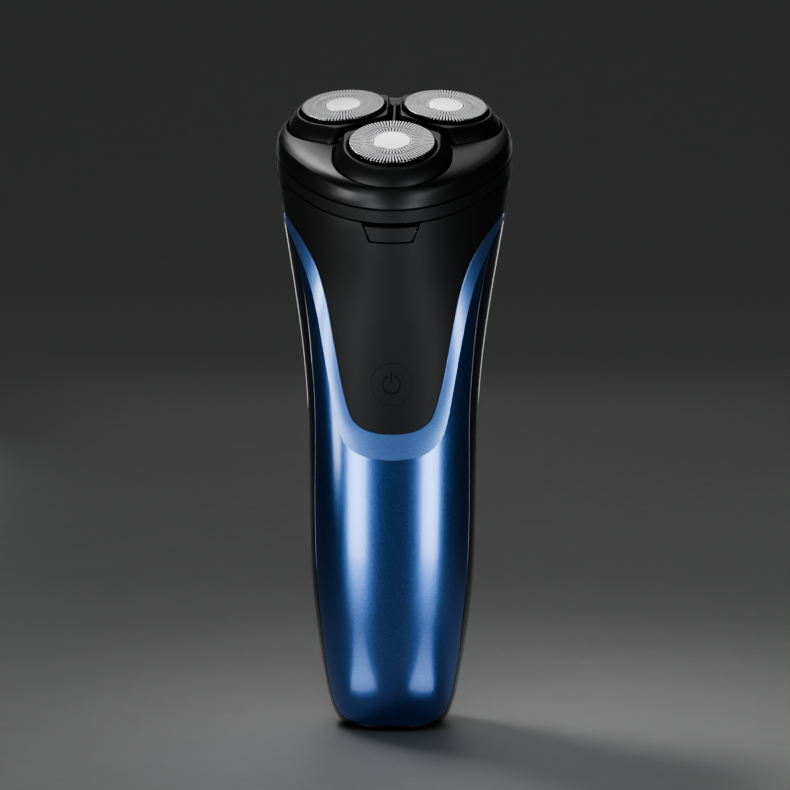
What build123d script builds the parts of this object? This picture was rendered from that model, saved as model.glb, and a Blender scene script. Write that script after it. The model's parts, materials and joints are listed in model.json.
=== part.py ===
from build123d import *
import os
from math import sin, cos, tan, radians, degrees, pi, sqrt, atan2, acos, hypot

os.makedirs("parts", exist_ok=True)

# ----------------------------------------------------------------- driving dimensions (mm)
TILT = 24.0            # the head plane leans this much towards the front
HEAD_Z = 144.5         # height of the head axis where it crosses the opening plane
Y_SHIFT = 0.704          # moves the finished model so that its box is centred on the origin
WALL = 1.8             # wall of the two handle shells
PANEL_T = 1.6          # wall of the front panel
RING_Z0, RING_Z1 = 0.15, 3.70      # neck ring, measured square to the opening plane
COVER_Z0 = 3.78        # underside of the head cover
POD_R = 14.9           # distance of each cutter axis from the head axis
POD_LEAN = 4.5         # each pod leans outwards
POD_PIVOT = 10.0       # height of the pod pivots over the opening plane
POD_W, POD_TOP_W = 14.7, 12.3      # half width of a pod at its skirt and at its top
POD_SPLIT = 11.92      # distance from a cutter axis to the straight inner sides
WELL_GAP = 0.42        # free gap round each pod
DISC_R = 10.8          # outer cutter
DISC_TOP = 5.4         # top of the cutter over the pod pivot
SPINDLE_R = 1.9
PINION_TEETH, GEAR_TEETH = 12, 38
GEAR_MODULE = 2 * POD_R / (PINION_TEETH + GEAR_TEETH)
MOTOR_R, MOTOR_L = 8.5, 20.0
BATTERY_R, BATTERY_L = 7.0, 49.0
HINGE_Y, HINGE_Z = 29.9, 3.0       # hinge pin, in the head frame
HINGE_R, PIN_R = 1.7, 0.75
POWER_Z, POWER_R = 90.8, 5.4

# half width of the handle over its height
HALF_W = [(0, 12.3), (0.9, 13.55), (2.9, 14.98), (5.5, 16.16), (10.9, 17.47), (16.3, 18.34), (21.6, 19.18),
          (27, 19.92), (37.6, 21.07), (48.2, 21.50), (58.8, 21.66), (69.4, 21.82), (79.9, 22.11), (90.3, 22.67),
          (100.8, 23.74), (111.2, 25.32), (121.6, 27.10), (131.9, 28.87), (137.1, 29.60), (144.5, 30.55), (152, 30.9)]
# reach to the front and to the back, in the plane of each section
FRONT_D = [(0, 10.6), (0.9, 11.8), (2.9, 13.1), (5.5, 14.1), (10.9, 15.2), (16.3, 15.9), (27, 16.7), (48.2, 17.2),
           (69.4, 17.3), (85, 17.5), (95, 18.0), (105, 19.2), (115, 21.2), (125, 24.4), (135, 28.1), (144.5, 31.6), (152, 31.9)]
REAR_D = [(0, 10.2), (0.9, 11.4), (2.9, 12.8), (5.5, 13.8), (10.9, 14.9), (16.3, 15.6), (27, 16.5), (48.2, 17.4),
          (69.4, 18.0), (85, 18.8), (95, 19.6), (105, 20.8), (115, 22.3), (125, 24.2), (135, 26.2), (144.5, 27.9), (152, 28.2)]
LEVELS = [0, 0.9, 2.9, 5.5, 10.9, 18, 27, 42, 58, 74, 88, 98, 107, 116, 125, 134.5, 144.5]

# how deep the front panel lies under the surface of the shell
PANEL_SINK = [(60, 1.2), (90, 1.2), (110, 0.95), (124, 0.6), (132, 0.15), (152, 0.0)]

# side view of the parting between front and rear shell, as (y, z)
PARTING = [(-11.6, 1.5), (-8.8, 2.7), (-7.2, 6.5), (-6.9, 12.9), (-7.4, 20), (-8.1, 29), (-8.15, 45), (-8.15, 60), (-8.7, 70.5),
           (-9.3, 80), (-9.8, 91), (-10.25, 101.5), (-10.3, 107), (-10.1, 112), (-9.65, 117), (-9.0, 122), (-8.3, 125), (-6.8, 127),
           (-4.4, 129.4), (-1.9, 132), (1.0, 134.1)]
# front view of the panel edge, right half, as (x, z)
PANEL_EDGE = [(0, 78.0), (4.45, 78.4), (7.12, 79.2), (9.28, 80.6), (10.6, 82.1), (11.62, 84.4), (12.5, 87.2), (13.7, 91.9),
              (14.65, 97), (15.6, 102.1), (16.5, 107.2), (17.45, 112.3), (18.75, 117.3), (20.55, 122.2), (23.4, 127.2), (26.9, 131.9),
              (30.5, 135.6), (34.0, 138.6)]
# outer edge of the bevel round the panel
BAND_EDGE = [(0, 71.5), (5.09, 72.0), (8.4, 72.9), (10.75, 74.4), (12.55, 76.6), (13.6, 79.2), (14.35, 82.0), (15.24, 86.8),
             (16.1, 91.9), (16.95, 97), (17.9, 102.1), (18.85, 107.2), (20.0, 112.3), (21.5, 117.3), (23.4, 122.2), (26.2, 127.2),
             (29.5, 132.5), (33.0, 137.5)]


# ----------------------------------------------------------------- helpers
def table(tab, x):
    """smooth, overshoot-free interpolation in a table of pairs"""
    if x <= tab[0][0]:
        return tab[0][1]
    if x >= tab[-1][0]:
        return tab[-1][1]
    n = len(tab)
    h = [tab[i + 1][0] - tab[i][0] for i in range(n - 1)]
    d = [(tab[i + 1][1] - tab[i][1]) / h[i] for i in range(n - 1)]
    m = [d[0]] + [0.0 if d[i - 1] * d[i] <= 0 else
                  3 * (h[i - 1] + h[i]) / ((2 * h[i] + h[i - 1]) / d[i - 1] + (h[i] + 2 * h[i - 1]) / d[i])
                  for i in range(1, n - 1)] + [d[-1]]
    for i in range(n - 1):
        if x <= tab[i + 1][0]:
            t = (x - tab[i][0]) / h[i]
            return ((1 + 2 * t) * (1 - t) ** 2 * tab[i][1] + t * (1 - t) ** 2 * h[i] * m[i]
                    + t * t * (3 - 2 * t) * tab[i + 1][1] + t * t * (t - 1) * h[i] * m[i + 1])


def smooth(t):
    t = min(1.0, max(0.0, t))
    return t * t * (3 - 2 * t)


def lean(s):
    """lean of the section at height s: upright in the handle, parallel to the head at the top"""
    return TILT * smooth((s - 78) / (HEAD_Z - 78))


def lobe_point(th, w, df, db):
    """rounded-triangle outline of the head, with one lobe to the front"""
    r = 29.9 + 1.8 * cos(3 * (th + pi / 2))
    x, y = r * cos(th) * w / 30.34, r * sin(th)
    k = smooth((y + 14) / 28)
    return x, y * (df / 31.7 * (1 - k) + db / 28.1 * k)


def handle_point(th, w, df, db, n):
    c, d = abs(cos(th)) / w, abs(sin(th)) / (df if sin(th) < 0 else db)
    r = (c ** n + d ** n) ** (-1 / n)
    return r * cos(th), r * sin(th)


def section_point(th, s, inset=0.0):
    w, df, db = table(HALF_W, s), table(FRONT_D, s), table(REAR_D, s)
    k = smooth((s - 92) / (HEAD_Z - 92))
    a = handle_point(th, w, df, db, 2.35)
    b = lobe_point(th, w, df, db)
    x, y = a[0] * (1 - k) + b[0] * k, a[1] * (1 - k) + b[1] * k
    r = hypot(x, y)
    q = (r - inset) / r
    return x * q, y * q


def section_plane(s):
    t = radians(lean(s))
    return Plane(origin=(0, 0, s), x_dir=(1, 0, 0), z_dir=(0, -sin(t), cos(t)))


def outline(pts):
    return make_face(Spline(*pts, periodic=True))


def body_loft(inset, levels, count=32):
    """solid through the handle sections; inset(s) is how far it lies under the outer surface"""
    return loft([section_plane(s) * outline([section_point(2 * pi * i / count - pi / 2, s, inset(s)) for i in range(count)])
                 for s in levels])


HEAD = Plane(origin=(0, 0, HEAD_Z), x_dir=(1, 0, 0), z_dir=(0, -sin(radians(TILT)), cos(radians(TILT))))
HEAD_LOC = HEAD.location


def head_outline(inset=0.0, scale=1.0, count=36):
    pts = []
    for i in range(count):
        x, y = section_point(2 * pi * i / count - pi / 2, HEAD_Z)
        r = hypot(x, y)
        q = (r * scale - inset) / r
        pts.append((x * q, y * q))
    return outline(pts)


def box(x0, x1, y0, y1, z0, z1):
    return Pos((x0 + x1) / 2, (y0 + y1) / 2, (z0 + z1) / 2) * Box(x1 - x0, y1 - y0, z1 - z0)


def cyl(x, y, z0, z1, r):
    return Pos(x, y, (z0 + z1) / 2) * Cylinder(r, z1 - z0)


def xcyl(y, z, x0, x1, r):
    return Pos((x0 + x1) / 2, y, z) * Rot(0, 90, 0) * Cylinder(r, x1 - x0)


def ycyl(x, z, y0, y1, r):
    return Pos(x, (y0 + y1) / 2, z) * Rot(90, 0, 0) * Cylinder(r, y1 - y0)


def solid(shape):
    """largest solid of a result, dropping slivers"""
    s = sorted(shape.solids(), key=lambda q: q.volume)
    return s[-1]


def solids(shape, least=0.5):
    return Compound([q for q in shape.solids() if q.volume > least])


def put(shape):
    return shape.moved(Location((0, Y_SHIFT, 0)))


NODES = {}


def keep(name, shape, in_head=False):
    if in_head:
        shape = shape.moved(HEAD_LOC)
    NODES[name] = put(shape)


def side_prism(points, closed_by, x=45):
    """extrude across the width; points run up the side view as (y, z), closed_by finishes the outline"""
    e = Spline(*points)
    rest = Polyline(points[-1], *closed_by, points[0])
    return extrude(Plane.YZ * make_face(Curve() + [e, rest]), x, both=True)


def front_prism(points, top=175.0, y0=0.0, y1=-60.0):
    """extrude from front to back the symmetric outline whose right half is given as (x, z)"""
    left = [(-x, z) for x, z in reversed(points)]
    pts = left[:-1] + list(points)
    e = Spline(*pts)
    rest = Polyline(pts[-1], (pts[-1][0] + 6, top), (pts[0][0] - 6, top), pts[0])
    return Pos(0, y0, 0) * extrude(Plane.XZ * make_face(Curve() + [e, rest]), y0 - y1)


# ----------------------------------------------------------------- handle shells and panel
above = HEAD_LOC * box(-60, 60, -60, 60, 0, 60)
UP = LEVELS[:-1] + [HEAD_Z]
outer = body_loft(lambda s: 0.0, UP)
inner = body_loft(lambda s: WALL, [2.0] + [s for s in LEVELS[3:-1]] + [HEAD_Z, HEAD_Z + 7])
hollow = outer - inner

front_zone = side_prism(PARTING, [(1.0, 172), (-60, 172), (-60, 1.5)])
panel_zone = front_prism(PANEL_EDGE)
band_zone = front_prism(BAND_EDGE)

front_half = hollow & front_zone
rear_half = hollow - front_zone

TOP_LEVELS = [62, 70, 78, 88, 98, 107, 116, 125, 134.5, HEAD_Z]
panel_out = body_loft(lambda s: table(PANEL_SINK, s), TOP_LEVELS)
panel_in = body_loft(lambda s: table(PANEL_SINK, s) + PANEL_T, TOP_LEVELS[:-1] + [HEAD_Z, HEAD_Z + 7])
band_out = body_loft(lambda s: 0.5 * table(PANEL_SINK, s), TOP_LEVELS)
upper = box(-60, 60, -60, 60, 64, 180)
band_cut = (outer & upper & band_zone & front_zone) - band_out

front_shell = (front_half - panel_zone) - band_cut
front_panel = ((panel_out - panel_in) & panel_zone) & front_zone
rear_shell = rear_half


# the drop-in button and switch positions on the front panel
power_hole = ycyl(0, POWER_Z, -30, -8, POWER_R + 0.14)
front_panel = front_panel - power_hole


def head_box(x0, x1, y0, y1, z0, z1):
    return HEAD_LOC * box(x0, x1, y0, y1, z0, z1)


def trapezoid(top_half, bottom_half, z_top, z_bottom, y0, y1, r=0.7):
    """block running back from the front of the head, narrower at its lower edge"""
    face = make_face(Polyline((-top_half, z_top), (-bottom_half, z_bottom), (bottom_half, z_bottom), (top_half, z_top), (-top_half, z_top)))
    block = extrude(Plane.XZ.offset(-y1) * face, y1 - y0)
    low = [e for e in block.edges().filter_by(Axis.Y) if e.center().Z < (z_top + z_bottom) / 2]
    return fillet(low, r)


# release button: a trapezoid under the opening line, with its pocket in the panel
button_pocket = HEAD_LOC * trapezoid(7.8, 5.55, 1.0, -5.15, -40, -25.2)
front_panel = front_panel - button_pocket
button_face = HEAD_LOC * (trapezoid(6.95, 5.36, -0.75, -4.92, -40, -28.0) - box(-9, 9, -29.2, -20, -1.9, 2))
release_button = solid(panel_out & button_face)
release_button = release_button + HEAD_LOC * box(-3.4, 3.4, -29.4, -27.0, -3.65, -1.95)

# charging inlet in the base, slightly behind the middle
inlet_x, inlet_y, inlet_half, inlet_r = 0.0, 2.5, 2.9, 1.75


def slot(half, r, z0, z1, x=0.0, y=2.5):
    return box(x - half, x + half, y - r, y + r, z0, z1) + cyl(x - half, y, z0, z1, r) + cyl(x + half, y, z0, z1, r)


rear_shell = rear_shell - slot(inlet_half, inlet_r, -1, 3)

# hinge ears on the back of the rear shell
ear_y0, ear_y1 = HINGE_Y - 1.55, HINGE_Y + HINGE_R
ears = HEAD_LOC * box(-8.6, 8.6, 26.0, ear_y1, -6.5, -0.9)
for sx in (-1, 1):
    lo, hi = sorted((sx * 4.85, sx * 8.6))
    ears = ears + HEAD_LOC * (box(lo, hi, ear_y0, ear_y1, -0.95, HINGE_Z) + xcyl(HINGE_Y, HINGE_Z, lo, hi, HINGE_R))
ears = ears - HEAD_LOC * xcyl(HINGE_Y, HINGE_Z, -4.85, 4.85, HINGE_R + 1.6)
ears = ears - HEAD_LOC * (Pos(0, ear_y1 + 1.2, -6.2) * Rot(-58, 0, 0) * Box(40, 14, 5))
ears = ears - inner
rear_shell = rear_shell + ears
rear_shell = rear_shell - HEAD_LOC * xcyl(HINGE_Y, HINGE_Z, -9, 9, PIN_R)
# small notches where the opening line meets the rear shell at the sides
for sx in (-1, 1):
    rear_shell = rear_shell - HEAD_LOC * (Pos(sx * 30, -0.4, 0) * Rot(45, 0, 0) * Box(8, 1.5, 1.5))

keep("front_shell", solid(front_shell))
keep("front_panel", solid(front_panel))
keep("rear_shell", solid(rear_shell))
keep("release_button", solid(release_button))

# hinge pin
keep("hinge_pin", xcyl(HINGE_Y, HINGE_Z, -8.6, 8.6, PIN_R), True)

# release spring: a bent leaf between the button and the deck
leaf = Polyline((-6.4, -24.7), (-3.0, -25.75), (3.0, -25.75), (6.4, -24.7))
leaf2 = Polyline((6.4, -24.4), (3.0, -25.45), (-3.0, -25.45), (-6.4, -24.4))
leaf_face = make_face(Curve() + [leaf, Line((6.4, -24.7), (6.4, -24.4)), leaf2, Line((-6.4, -24.4), (-6.4, -24.7))])
keep("release_spring", Pos(0, 0, -3.6) * extrude(leaf_face, 1.4), True)

# ----------------------------------------------------------------- deck, gears and motor
deck_zone = body_loft(lambda s: WALL + 0.07, [98, 107, 116, 125, 134.5, HEAD_Z, HEAD_Z + 7])
DIRS = {"front": -90.0, "right": 30.0, "left": 150.0}
FLATS = (-30.0, 90.0, 210.0)
SCREWS = ((21.5, -30.0), (19.3, 90.0), (21.5, 210.0))


def polar(r, deg):
    return r * cos(radians(deg)), r * sin(radians(deg))


deck = deck_zone & head_box(-50, 50, -50, 50, -2.0, -0.3)
deck = deck - HEAD_LOC * box(-8.4, 8.4, -40, -24.0, -3, 1)
for a in DIRS.values():
    x, y = polar(POD_R, a)
    deck = deck + HEAD_LOC * (cyl(x, y, -2.0, 2.4, 4.3) + cyl(x, y, -2.0, -0.1, 6.4))
    deck = deck - HEAD_LOC * (cyl(x, y, -3.0, 0.9, SPINDLE_R + 0.3) + cyl(x, y, 0.9, 3.0, 3.25))
for r, a in SCREWS:
    x, y = polar(r, a)
    deck = deck - HEAD_LOC * (cyl(x, y, -3, 1, 1.15) + cyl(x, y, -1.0, 1, 2.3))
# receiving well for the catch of the head
keep("top_deck", solid(deck))

seals, screws = [], []
for a in DIRS.values():
    x, y = polar(POD_R, a)
    seals.append(cyl(x, y, 0.9, 2.1, 3.25) - cyl(x, y, 0, 3, SPINDLE_R + 0.06))
for r, a in SCREWS:
    x, y = polar(r, a)
    screws.append((cyl(x, y, -1.0, 0.0, 2.0) + cyl(x, y, -8.0, -1.0, 1.0)) - box(x - 1.3, x + 1.3, y - 0.3, y + 0.3, -0.5, 0.5)
                  - box(x - 0.3, x + 0.3, y - 1.3, y + 1.3, -0.5, 0.5))
keep("spindle_seals", Compound([s.solid() for s in seals]), True)
keep("deck_screws", Compound([solid(s) for s in screws]), True)

# gear carrier: plate with the motor seat, spindle sockets and screw posts
carrier = Pos(0, 0, -9.6) * extrude(head_outline(inset=6.0), 1.6)
for r, a in SCREWS:
    x, y = polar(r, a)
    carrier = carrier + cyl(x, y, -9.6, -2.0, 2.3)
    carrier = carrier - cyl(x, y, -9.0, 0, 1.0)
for a in DIRS.values():
    x, y = polar(POD_R, a)
    carrier = carrier + cyl(x, y, -9.6, -7.2, 2.6) - cyl(x, y, -9.0, 0, 1.05)
carrier = carrier - cyl(0, 0, -12, 0, 3.4)
carrier = carrier - box(-9.5, 9.5, -40, -22.5, -12, -7)
carrier = carrier + (cyl(0, 0, -13.0, -9.6, MOTOR_R + 1.3) - cyl(0, 0, -14, -9.6, MOTOR_R))
carrier = HEAD_LOC * carrier
carrier = carrier & body_loft(lambda s: WALL + 0.4, [100, 107, 116, 125, 134.5, HEAD_Z])
keep("gear_carrier", solid(carrier))

motor = cyl(0, 0, -9.6 - MOTOR_L, -9.6, MOTOR_R) + cyl(0, 0, -9.6, -8.2, 3.0) + cyl(0, 0, -9.6 - MOTOR_L - 1.2, -9.6 - MOTOR_L, 2.6)
motor = motor - cyl(0, 0, -9.6 - 15, 0, 1.05)
motor = motor - box(MOTOR_R - 1.0, 20, -20, 20, -9.6 - MOTOR_L + 2.0, -13.2) - box(-20, -MOTOR_R + 1.0, -20, 20, -9.6 - MOTOR_L + 2.0, -13.2)
for sx in (-1, 1):
    motor = motor + box(sx * 5 - 1.1, sx * 5 + 1.1, -0.2, 0.2, -9.6 - MOTOR_L - 2.6, -9.6 - MOTOR_L)
keep("motor", solid(motor), True)


def involute(rb, r):
    a = acos(min(1.0, rb / r))
    return tan(a) - a


def gear_face(teeth, module, slack, start):
    """spur gear outline with involute flanks; start is the direction of the middle of one tooth, in degrees"""
    rp = teeth * module / 2
    rb = rp * cos(radians(20))
    ra, rf = rp + 0.86 * module, rp - 1.12 * module
    half = pi / (2 * teeth) - slack / rp + involute(rb, rp)
    pts = []
    low = max(rb, rf)
    for k in range(teeth):
        c = radians(start) + 2 * pi * k / teeth
        flank = [low, (low + rp) / 2 + 0.05, (rp + ra) / 2, ra]
        pts.append((rf, c - half - (0.02 if rf < rb else 0)))
        if rf < rb:
            pts.append((rb, c - half))
        for r in flank[1:]:
            pts.append((r, c - half + involute(rb, r)))
        for r in reversed(flank[1:]):
            pts.append((r, c + half - involute(rb, r)))
        if rf < rb:
            pts.append((rb, c + half))
        pts.append((rf, c + half + (0.02 if rf < rb else 0)))
    xy = [(r * cos(t), r * sin(t)) for r, t in pts]
    return make_face(Polyline(*xy, xy[0]))


pinion = Pos(0, 0, -6.9) * extrude(gear_face(PINION_TEETH, GEAR_MODULE, 0.05, -90.0), 3.6)
pinion = pinion + cyl(0, 0, -23.0, -3.4, 1.0)
keep("motor_pinion", solid(pinion), True)

for side, a in DIRS.items():
    x, y = polar(POD_R, a)
    # the gear has a gap facing the pinion
    g = Pos(x, y, -6.6) * extrude(gear_face(GEAR_TEETH, GEAR_MODULE, 0.05, a + 180 + 180 / GEAR_TEETH), 2.8)
    g = g + cyl(x, y, -7.0, -3.2, 3.4)
    web = cyl(x, y, -4.6, -3.0, 10.0) - cyl(x, y, -5, -2, 4.4)
    g = g - web
    g = g - cyl(x, y, -10, 0, SPINDLE_R)
    keep("drive_gear_" + side, solid(g), True)
    sp = cyl(x, y, -7.0, 7.4, SPINDLE_R) + cyl(x, y, -8.8, -7.0, 1.0)
    dog = cyl(x, y, 7.4, 8.8, 1.6) & box(x - 1.1, x + 1.1, y - 3, y + 3, 7.4, 8.8)
    sp = sp + dog
    sp = sp + (cyl(x, y, -3.0, -2.55, 3.2) - cyl(x, y, -4, -2, SPINDLE_R))
    keep("drive_spindle_" + side, solid(sp), True)

# ----------------------------------------------------------------- head: ring, cover, retaining frame, knob
ring = loft([Pos(0, 0, RING_Z0) * head_outline(), Pos(0, 0, 2.0) * head_outline(scale=1.002), Pos(0, 0, RING_Z1) * head_outline(scale=1.0)])
ring_in = loft([Pos(0, 0, RING_Z0 - 1) * head_outline(1.8), Pos(0, 0, 2.0) * head_outline(1.8), Pos(0, 0, RING_Z1 + 1) * head_outline(1.9)])
ring = ring - ring_in
for a in FLATS:
    x, y = polar(23.0, a)
    ring = ring + ((cyl(x, y, 1.5, RING_Z1, 2.4) + box(x - 2.4, x + 2.4, y - 2.4, y + 2.4, 2.6, RING_Z1)) & (
        Pos(0, 0, 0) * extrude(head_outline(0.9), 8)))
    ring = ring - cyl(x, y, 1.0, 3.0, 0.9)
# catch that the release button holds
ring = ring + box(-2.8, 2.8, -30.3, -26.8, 0.3, 1.3) + box(-2.8, 2.8, -27.8, -26.8, -1.5, 1.0)
# hinge knuckle
knuckle = (xcyl(HINGE_Y, HINGE_Z, -4.55, 4.55, HINGE_R) + box(-4.55, 4.55, HINGE_Y - 2.9, HINGE_Y, HINGE_Z - 1.5, HINGE_Z + 0.7))
knuckle = knuckle - (Pos(0, 0, -2) * extrude(head_outline(0.9), 12))
ring = ring + knuckle
ring = ring - xcyl(HINGE_Y, HINGE_Z, -5, 5, PIN_R + 0.05)
keep("neck_ring", solid(ring), True)


def pod_location(a):
    """frame at a pod's pivot: x points outwards, z along the cutter axis"""
    x, y = polar(POD_R, a)
    t = radians(POD_LEAN)
    c, s = cos(radians(a)), sin(radians(a))
    return Plane(origin=(x, y, POD_PIVOT), x_dir=(c * cos(t), s * cos(t), -sin(t)), z_dir=(c * sin(t), s * sin(t), cos(t))).location


def petal(half, split, r=2.2):
    """rounded pod outline: round outside, straight sides, pointed towards the head axis"""
    blank = Circle(half) + Pos(-15, 0) * Rectangle(30, 2 * half)
    for s in (-1, 1):
        n = radians(150 * s)
        blank = blank - Pos((split + 20) * cos(n), (split + 20) * sin(n)) * Rot(0, 0, 150 * s) * Rectangle(40, 90)
    corners = [v for v in blank.vertices() if v.X < -0.1 * half]
    return fillet(corners, r)


def petal_block(half, split, z0, z1, r=2.2):
    return Pos(0, 0, z0) * extrude(petal(half, split, r), z1 - z0)


# (height, how far inside the opening line, scale)
COVER_LEVELS = [(COVER_Z0, 0.0, 1.0), (5.5, 0.05, 1.0), (7.0, 0.3, 1.0), (8.4, 0.9, 1.0), (9.5, 1.7, 1.0), (10.4, 3.4, 1.0), (10.9, 6.5, 1.0)]
cover = loft([Pos(0, 0, z) * head_outline(i, k) for z, i, k in COVER_LEVELS])
cover = cover - loft([Pos(0, 0, z) * head_outline(i, 1.0) for z, i in ((COVER_Z0 - 1, 1.9), (6.6, 2.0), (7.9, 2.8), (9.0, 4.6))])
for a in DIRS.values():
    well = petal_block(POD_W + WELL_GAP, POD_SPLIT + WELL_GAP, -6.5, 12.0, 2.6)
    cover = cover - ((pod_location(a) * well) & box(-60, 60, -60, 60, 4.9, 40))
cover = cover + cyl(0, 0, 4.9, 7.45, 3.4)
for a in FLATS:
    cover = cover + Rot(0, 0, a) * box(0, 24.5, -1.6, 1.6, 6.5, 7.45)
    cover = cover + Rot(0, 0, a) * loft([Pos(0, 0, 7.0) * (Pos(9.5, 0) * Rectangle(19.0, 1.24)),
                                         Pos(0, 0, 13.2) * (Pos(7.2, 0) * Rectangle(14.4, 0.9))])
for a in FLATS:
    x, y = polar(23.0, a)
    cover = cover + (cyl(x, y, COVER_Z0, 7.3, 2.2) & extrude(head_outline(1.0), 12))
cover = cover - cyl(0, 0, 4.0, 7.0, 1.62)
print("cover", [round(q.volume, 1) for q in cover.solids()])
keep("head_cover", solid(cover), True)

frame = Pos(0, 0, 3.76) * extrude(head_outline(2.7), 0.9)
for a in DIRS.values():
    x, y = polar(POD_R, a)
    frame = frame - cyl(x, y, 0, 9, 7.4)
for a in FLATS:
    x, y = polar(23.0, a)
    frame = frame - cyl(x, y, 0, 9, 2.75)
frame = frame - cyl(0, 0, 0, 9, 1.75)
keep("retaining_frame", solid(frame), True)

knob = cyl(0, 0, 1.4, 3.5, 4.8) + cyl(0, 0, 3.5, 6.7, 1.5) - box(-5, 5, -0.9, 0.9, 0, 2.2)
for k in range(12):
    kx, ky = polar(5.1, 15 + 30 * k)
    knob = knob - cyl(kx, ky, 0, 4, 0.7)
keep("lock_knob", solid(knob), True)

# ----------------------------------------------------------------- pods and cutters
pod = petal_block(POD_W, POD_SPLIT, -1.9, 0.2) + loft([Pos(0, 0, 0.2) * petal(POD_W, POD_SPLIT), Pos(0, 0, 3.9) * petal(POD_TOP_W, POD_SPLIT - 0.25)])
pod = pod + petal_block(POD_TOP_W, POD_SPLIT - 0.25, 3.9, 4.3)
pod = pod - cyl(0, 0, -1.0, 5, 11.35) - cyl(0, 0, -3, 5, 9.6)
pod = solid(pod)
cutter = cyl(0, 0, 0.3, DISC_TOP, 10.6) + cyl(0, 0, 4.5, DISC_TOP - 0.15, DISC_R) + cyl(0, 0, 0.3, 1.0, 11.05)
cutter = cutter - cyl(0, 0, -1, 4.6, 10.05) - cyl(0, 0, DISC_TOP - 0.25, 6, 4.7) - (cyl(0, 0, DISC_TOP - 0.2, 6, 7.35) - cyl(0, 0, 0, 7, 6.9))
cutter = solid(cutter)
cap = cyl(0, 0, DISC_TOP - 0.25, DISC_TOP + 0.12, 4.6)
cap = fillet(cap.edges().sort_by(Axis.Z)[-1], 0.15)
blades = cyl(0, 0, 2.2, 2.9, 9.75) - cyl(0, 0, 1, 4, 3.4)
for k in range(12):
    turn = Rot(0, 0, 30 * k)
    blades = blades + turn * (Pos(8.7, 0, 3.65) * Rot(24, 0, 0) * Box(1.9, 0.45, 1.8)) + turn * (Pos(5.7, 0, 3.65) * Rot(24, 0, 0) * Box(1.5, 0.45, 1.8))
blades = solid(blades & cyl(0, 0, 0, 4.48, 9.9))
hub = cyl(0, 0, 1.2, 2.2, 4.6) + cyl(0, 0, 2.2, 3.6, 3.4) + cyl(0, 0, -3.2, 1.2, 3.7)
hub = solid(hub - cyl(0, 0, -4, 0.6, 2.55))
for side, a in DIRS.items():
    loc = pod_location(a)
    for name, piece in (("pod_", pod), ("outer_cutter_", cutter), ("cutter_cap_", cap), ("inner_cutter_", blades), ("cutter_hub_", hub)):
        keep(name + side, solid(piece.moved(loc)), True)

# ----------------------------------------------------------------- power button, switch and board
button = solid((panel_out & ycyl(0, POWER_Z, -30, -14.2, POWER_R))) + ycyl(0, POWER_Z, -15.2, -12.6, 1.5)
icon = ycyl(0, POWER_Z, -40, 0, 2.45) - ycyl(0, POWER_Z, -40, 0, 2.05) - box(-0.75, 0.75, -40, 0, POWER_Z + 1, POWER_Z + 4)
icon = (icon + box(-0.2, 0.2, -40, 0, POWER_Z + 0.6, POWER_Z + 3.2)) - body_loft(lambda s: table(PANEL_SINK, s) + 0.25, TOP_LEVELS)
button = button - icon
print("button", [round(q.volume, 2) for q in button.solids()])
keep("power_button", solid(button))
keep("button_membrane", ycyl(0, POWER_Z, -13.6, -13.1, 7.0) - ycyl(0, POWER_Z, -14, -12, 1.8))
keep("tact_switch", box(-2.9, 2.9, -11.2, -9.2, POWER_Z - 2.9, POWER_Z + 2.9) + ycyl(0, POWER_Z, -12.0, -11.2, 1.4))
board = box(-10.5, 10.5, -9.2, -8.0, 24, 99)
for sz in (27, 96):
    board = board - ycyl(0, sz, -12, -5, 1.1)
keep("circuit_board", board)
parts = [box(-8.2, -2.2, -10.4, -9.2, 60, 67), box(2.0, 7.0, -11.4, -9.2, 58, 63), box(-7.5, -4.5, -10.2, -9.2, 45, 48.5),
         ycyl(4.5, 47, -12.6, -9.2, 2.4), box(-3.0, 1.0, -10.2, -9.2, 72, 76), box(3.2, 7.4, -10.1, -9.2, 78, 81), box(-7, -4.4, -10.0, -9.2, 81, 83)]
keep("board_components", Compound([solid(p) for p in parts]))
bs = [ycyl(0, z, -10.1, -9.2, 1.9) + ycyl(0, z, -9.2, -5.4, 0.95) - box(-1.3, 1.3, -11, -9.8, z - 0.25, z + 0.25) for z in (27, 96)]
keep("board_screws", Compound([solid(b) for b in bs]))

# inner frame: battery tray with a column for the board
bx, by, bz0 = 0.0, 4.6, 21.0
tray = box(-10.4, 10.4, -8.0, 13.4, 17.5, 74.5)
tray = tray - cyl(bx, by, bz0 - 1.2, bz0 + BATTERY_L + 1.2, BATTERY_R + 0.15) - box(-8.4, 8.4, -6.0, 0.5, 22, 72)
tray = tray - box(-12, 12, 7.0, 20, 26, 68) + box(-3.5, 3.5, 11.7, 13.4, 26, 68)
tray = tray + box(-9.4, 9.4, -8.0, -5.4, 74.5, 100.5) - box(-5.6, 5.6, -8.5, -4, 77, 92.5)
tray = tray - ycyl(0, 27, -9, -5.4, 0.95) - ycyl(0, 96, -9, -5.4, 0.95)
tray = tray + box(-12.5, 12.5, -5.2, -2.8, 20, 72) - box(-10.4, 10.4, -5.3, -2.7, 20.4, 71.6)
tray = tray - cyl(bx, by, bz0 - 1.2, bz0 + BATTERY_L + 1.2, BATTERY_R + 0.15)
tray = tray & body_loft(lambda s: WALL + 0.25, [10.9, 18, 27, 42, 58, 74, 88, 98, 107])
print("tray", [round(q.volume, 1) for q in tray.solids()])
keep("inner_frame", solid(tray))
cell = cyl(bx, by, bz0, bz0 + BATTERY_L, BATTERY_R) + cyl(bx, by, bz0 + BATTERY_L, bz0 + BATTERY_L + 0.8, 2.8)
cell = fillet([e for e in cell.edges().filter_by(GeomType.CIRCLE) if e.radius > BATTERY_R - 0.1], 0.6)
keep("battery_cell", solid(cell))
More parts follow.
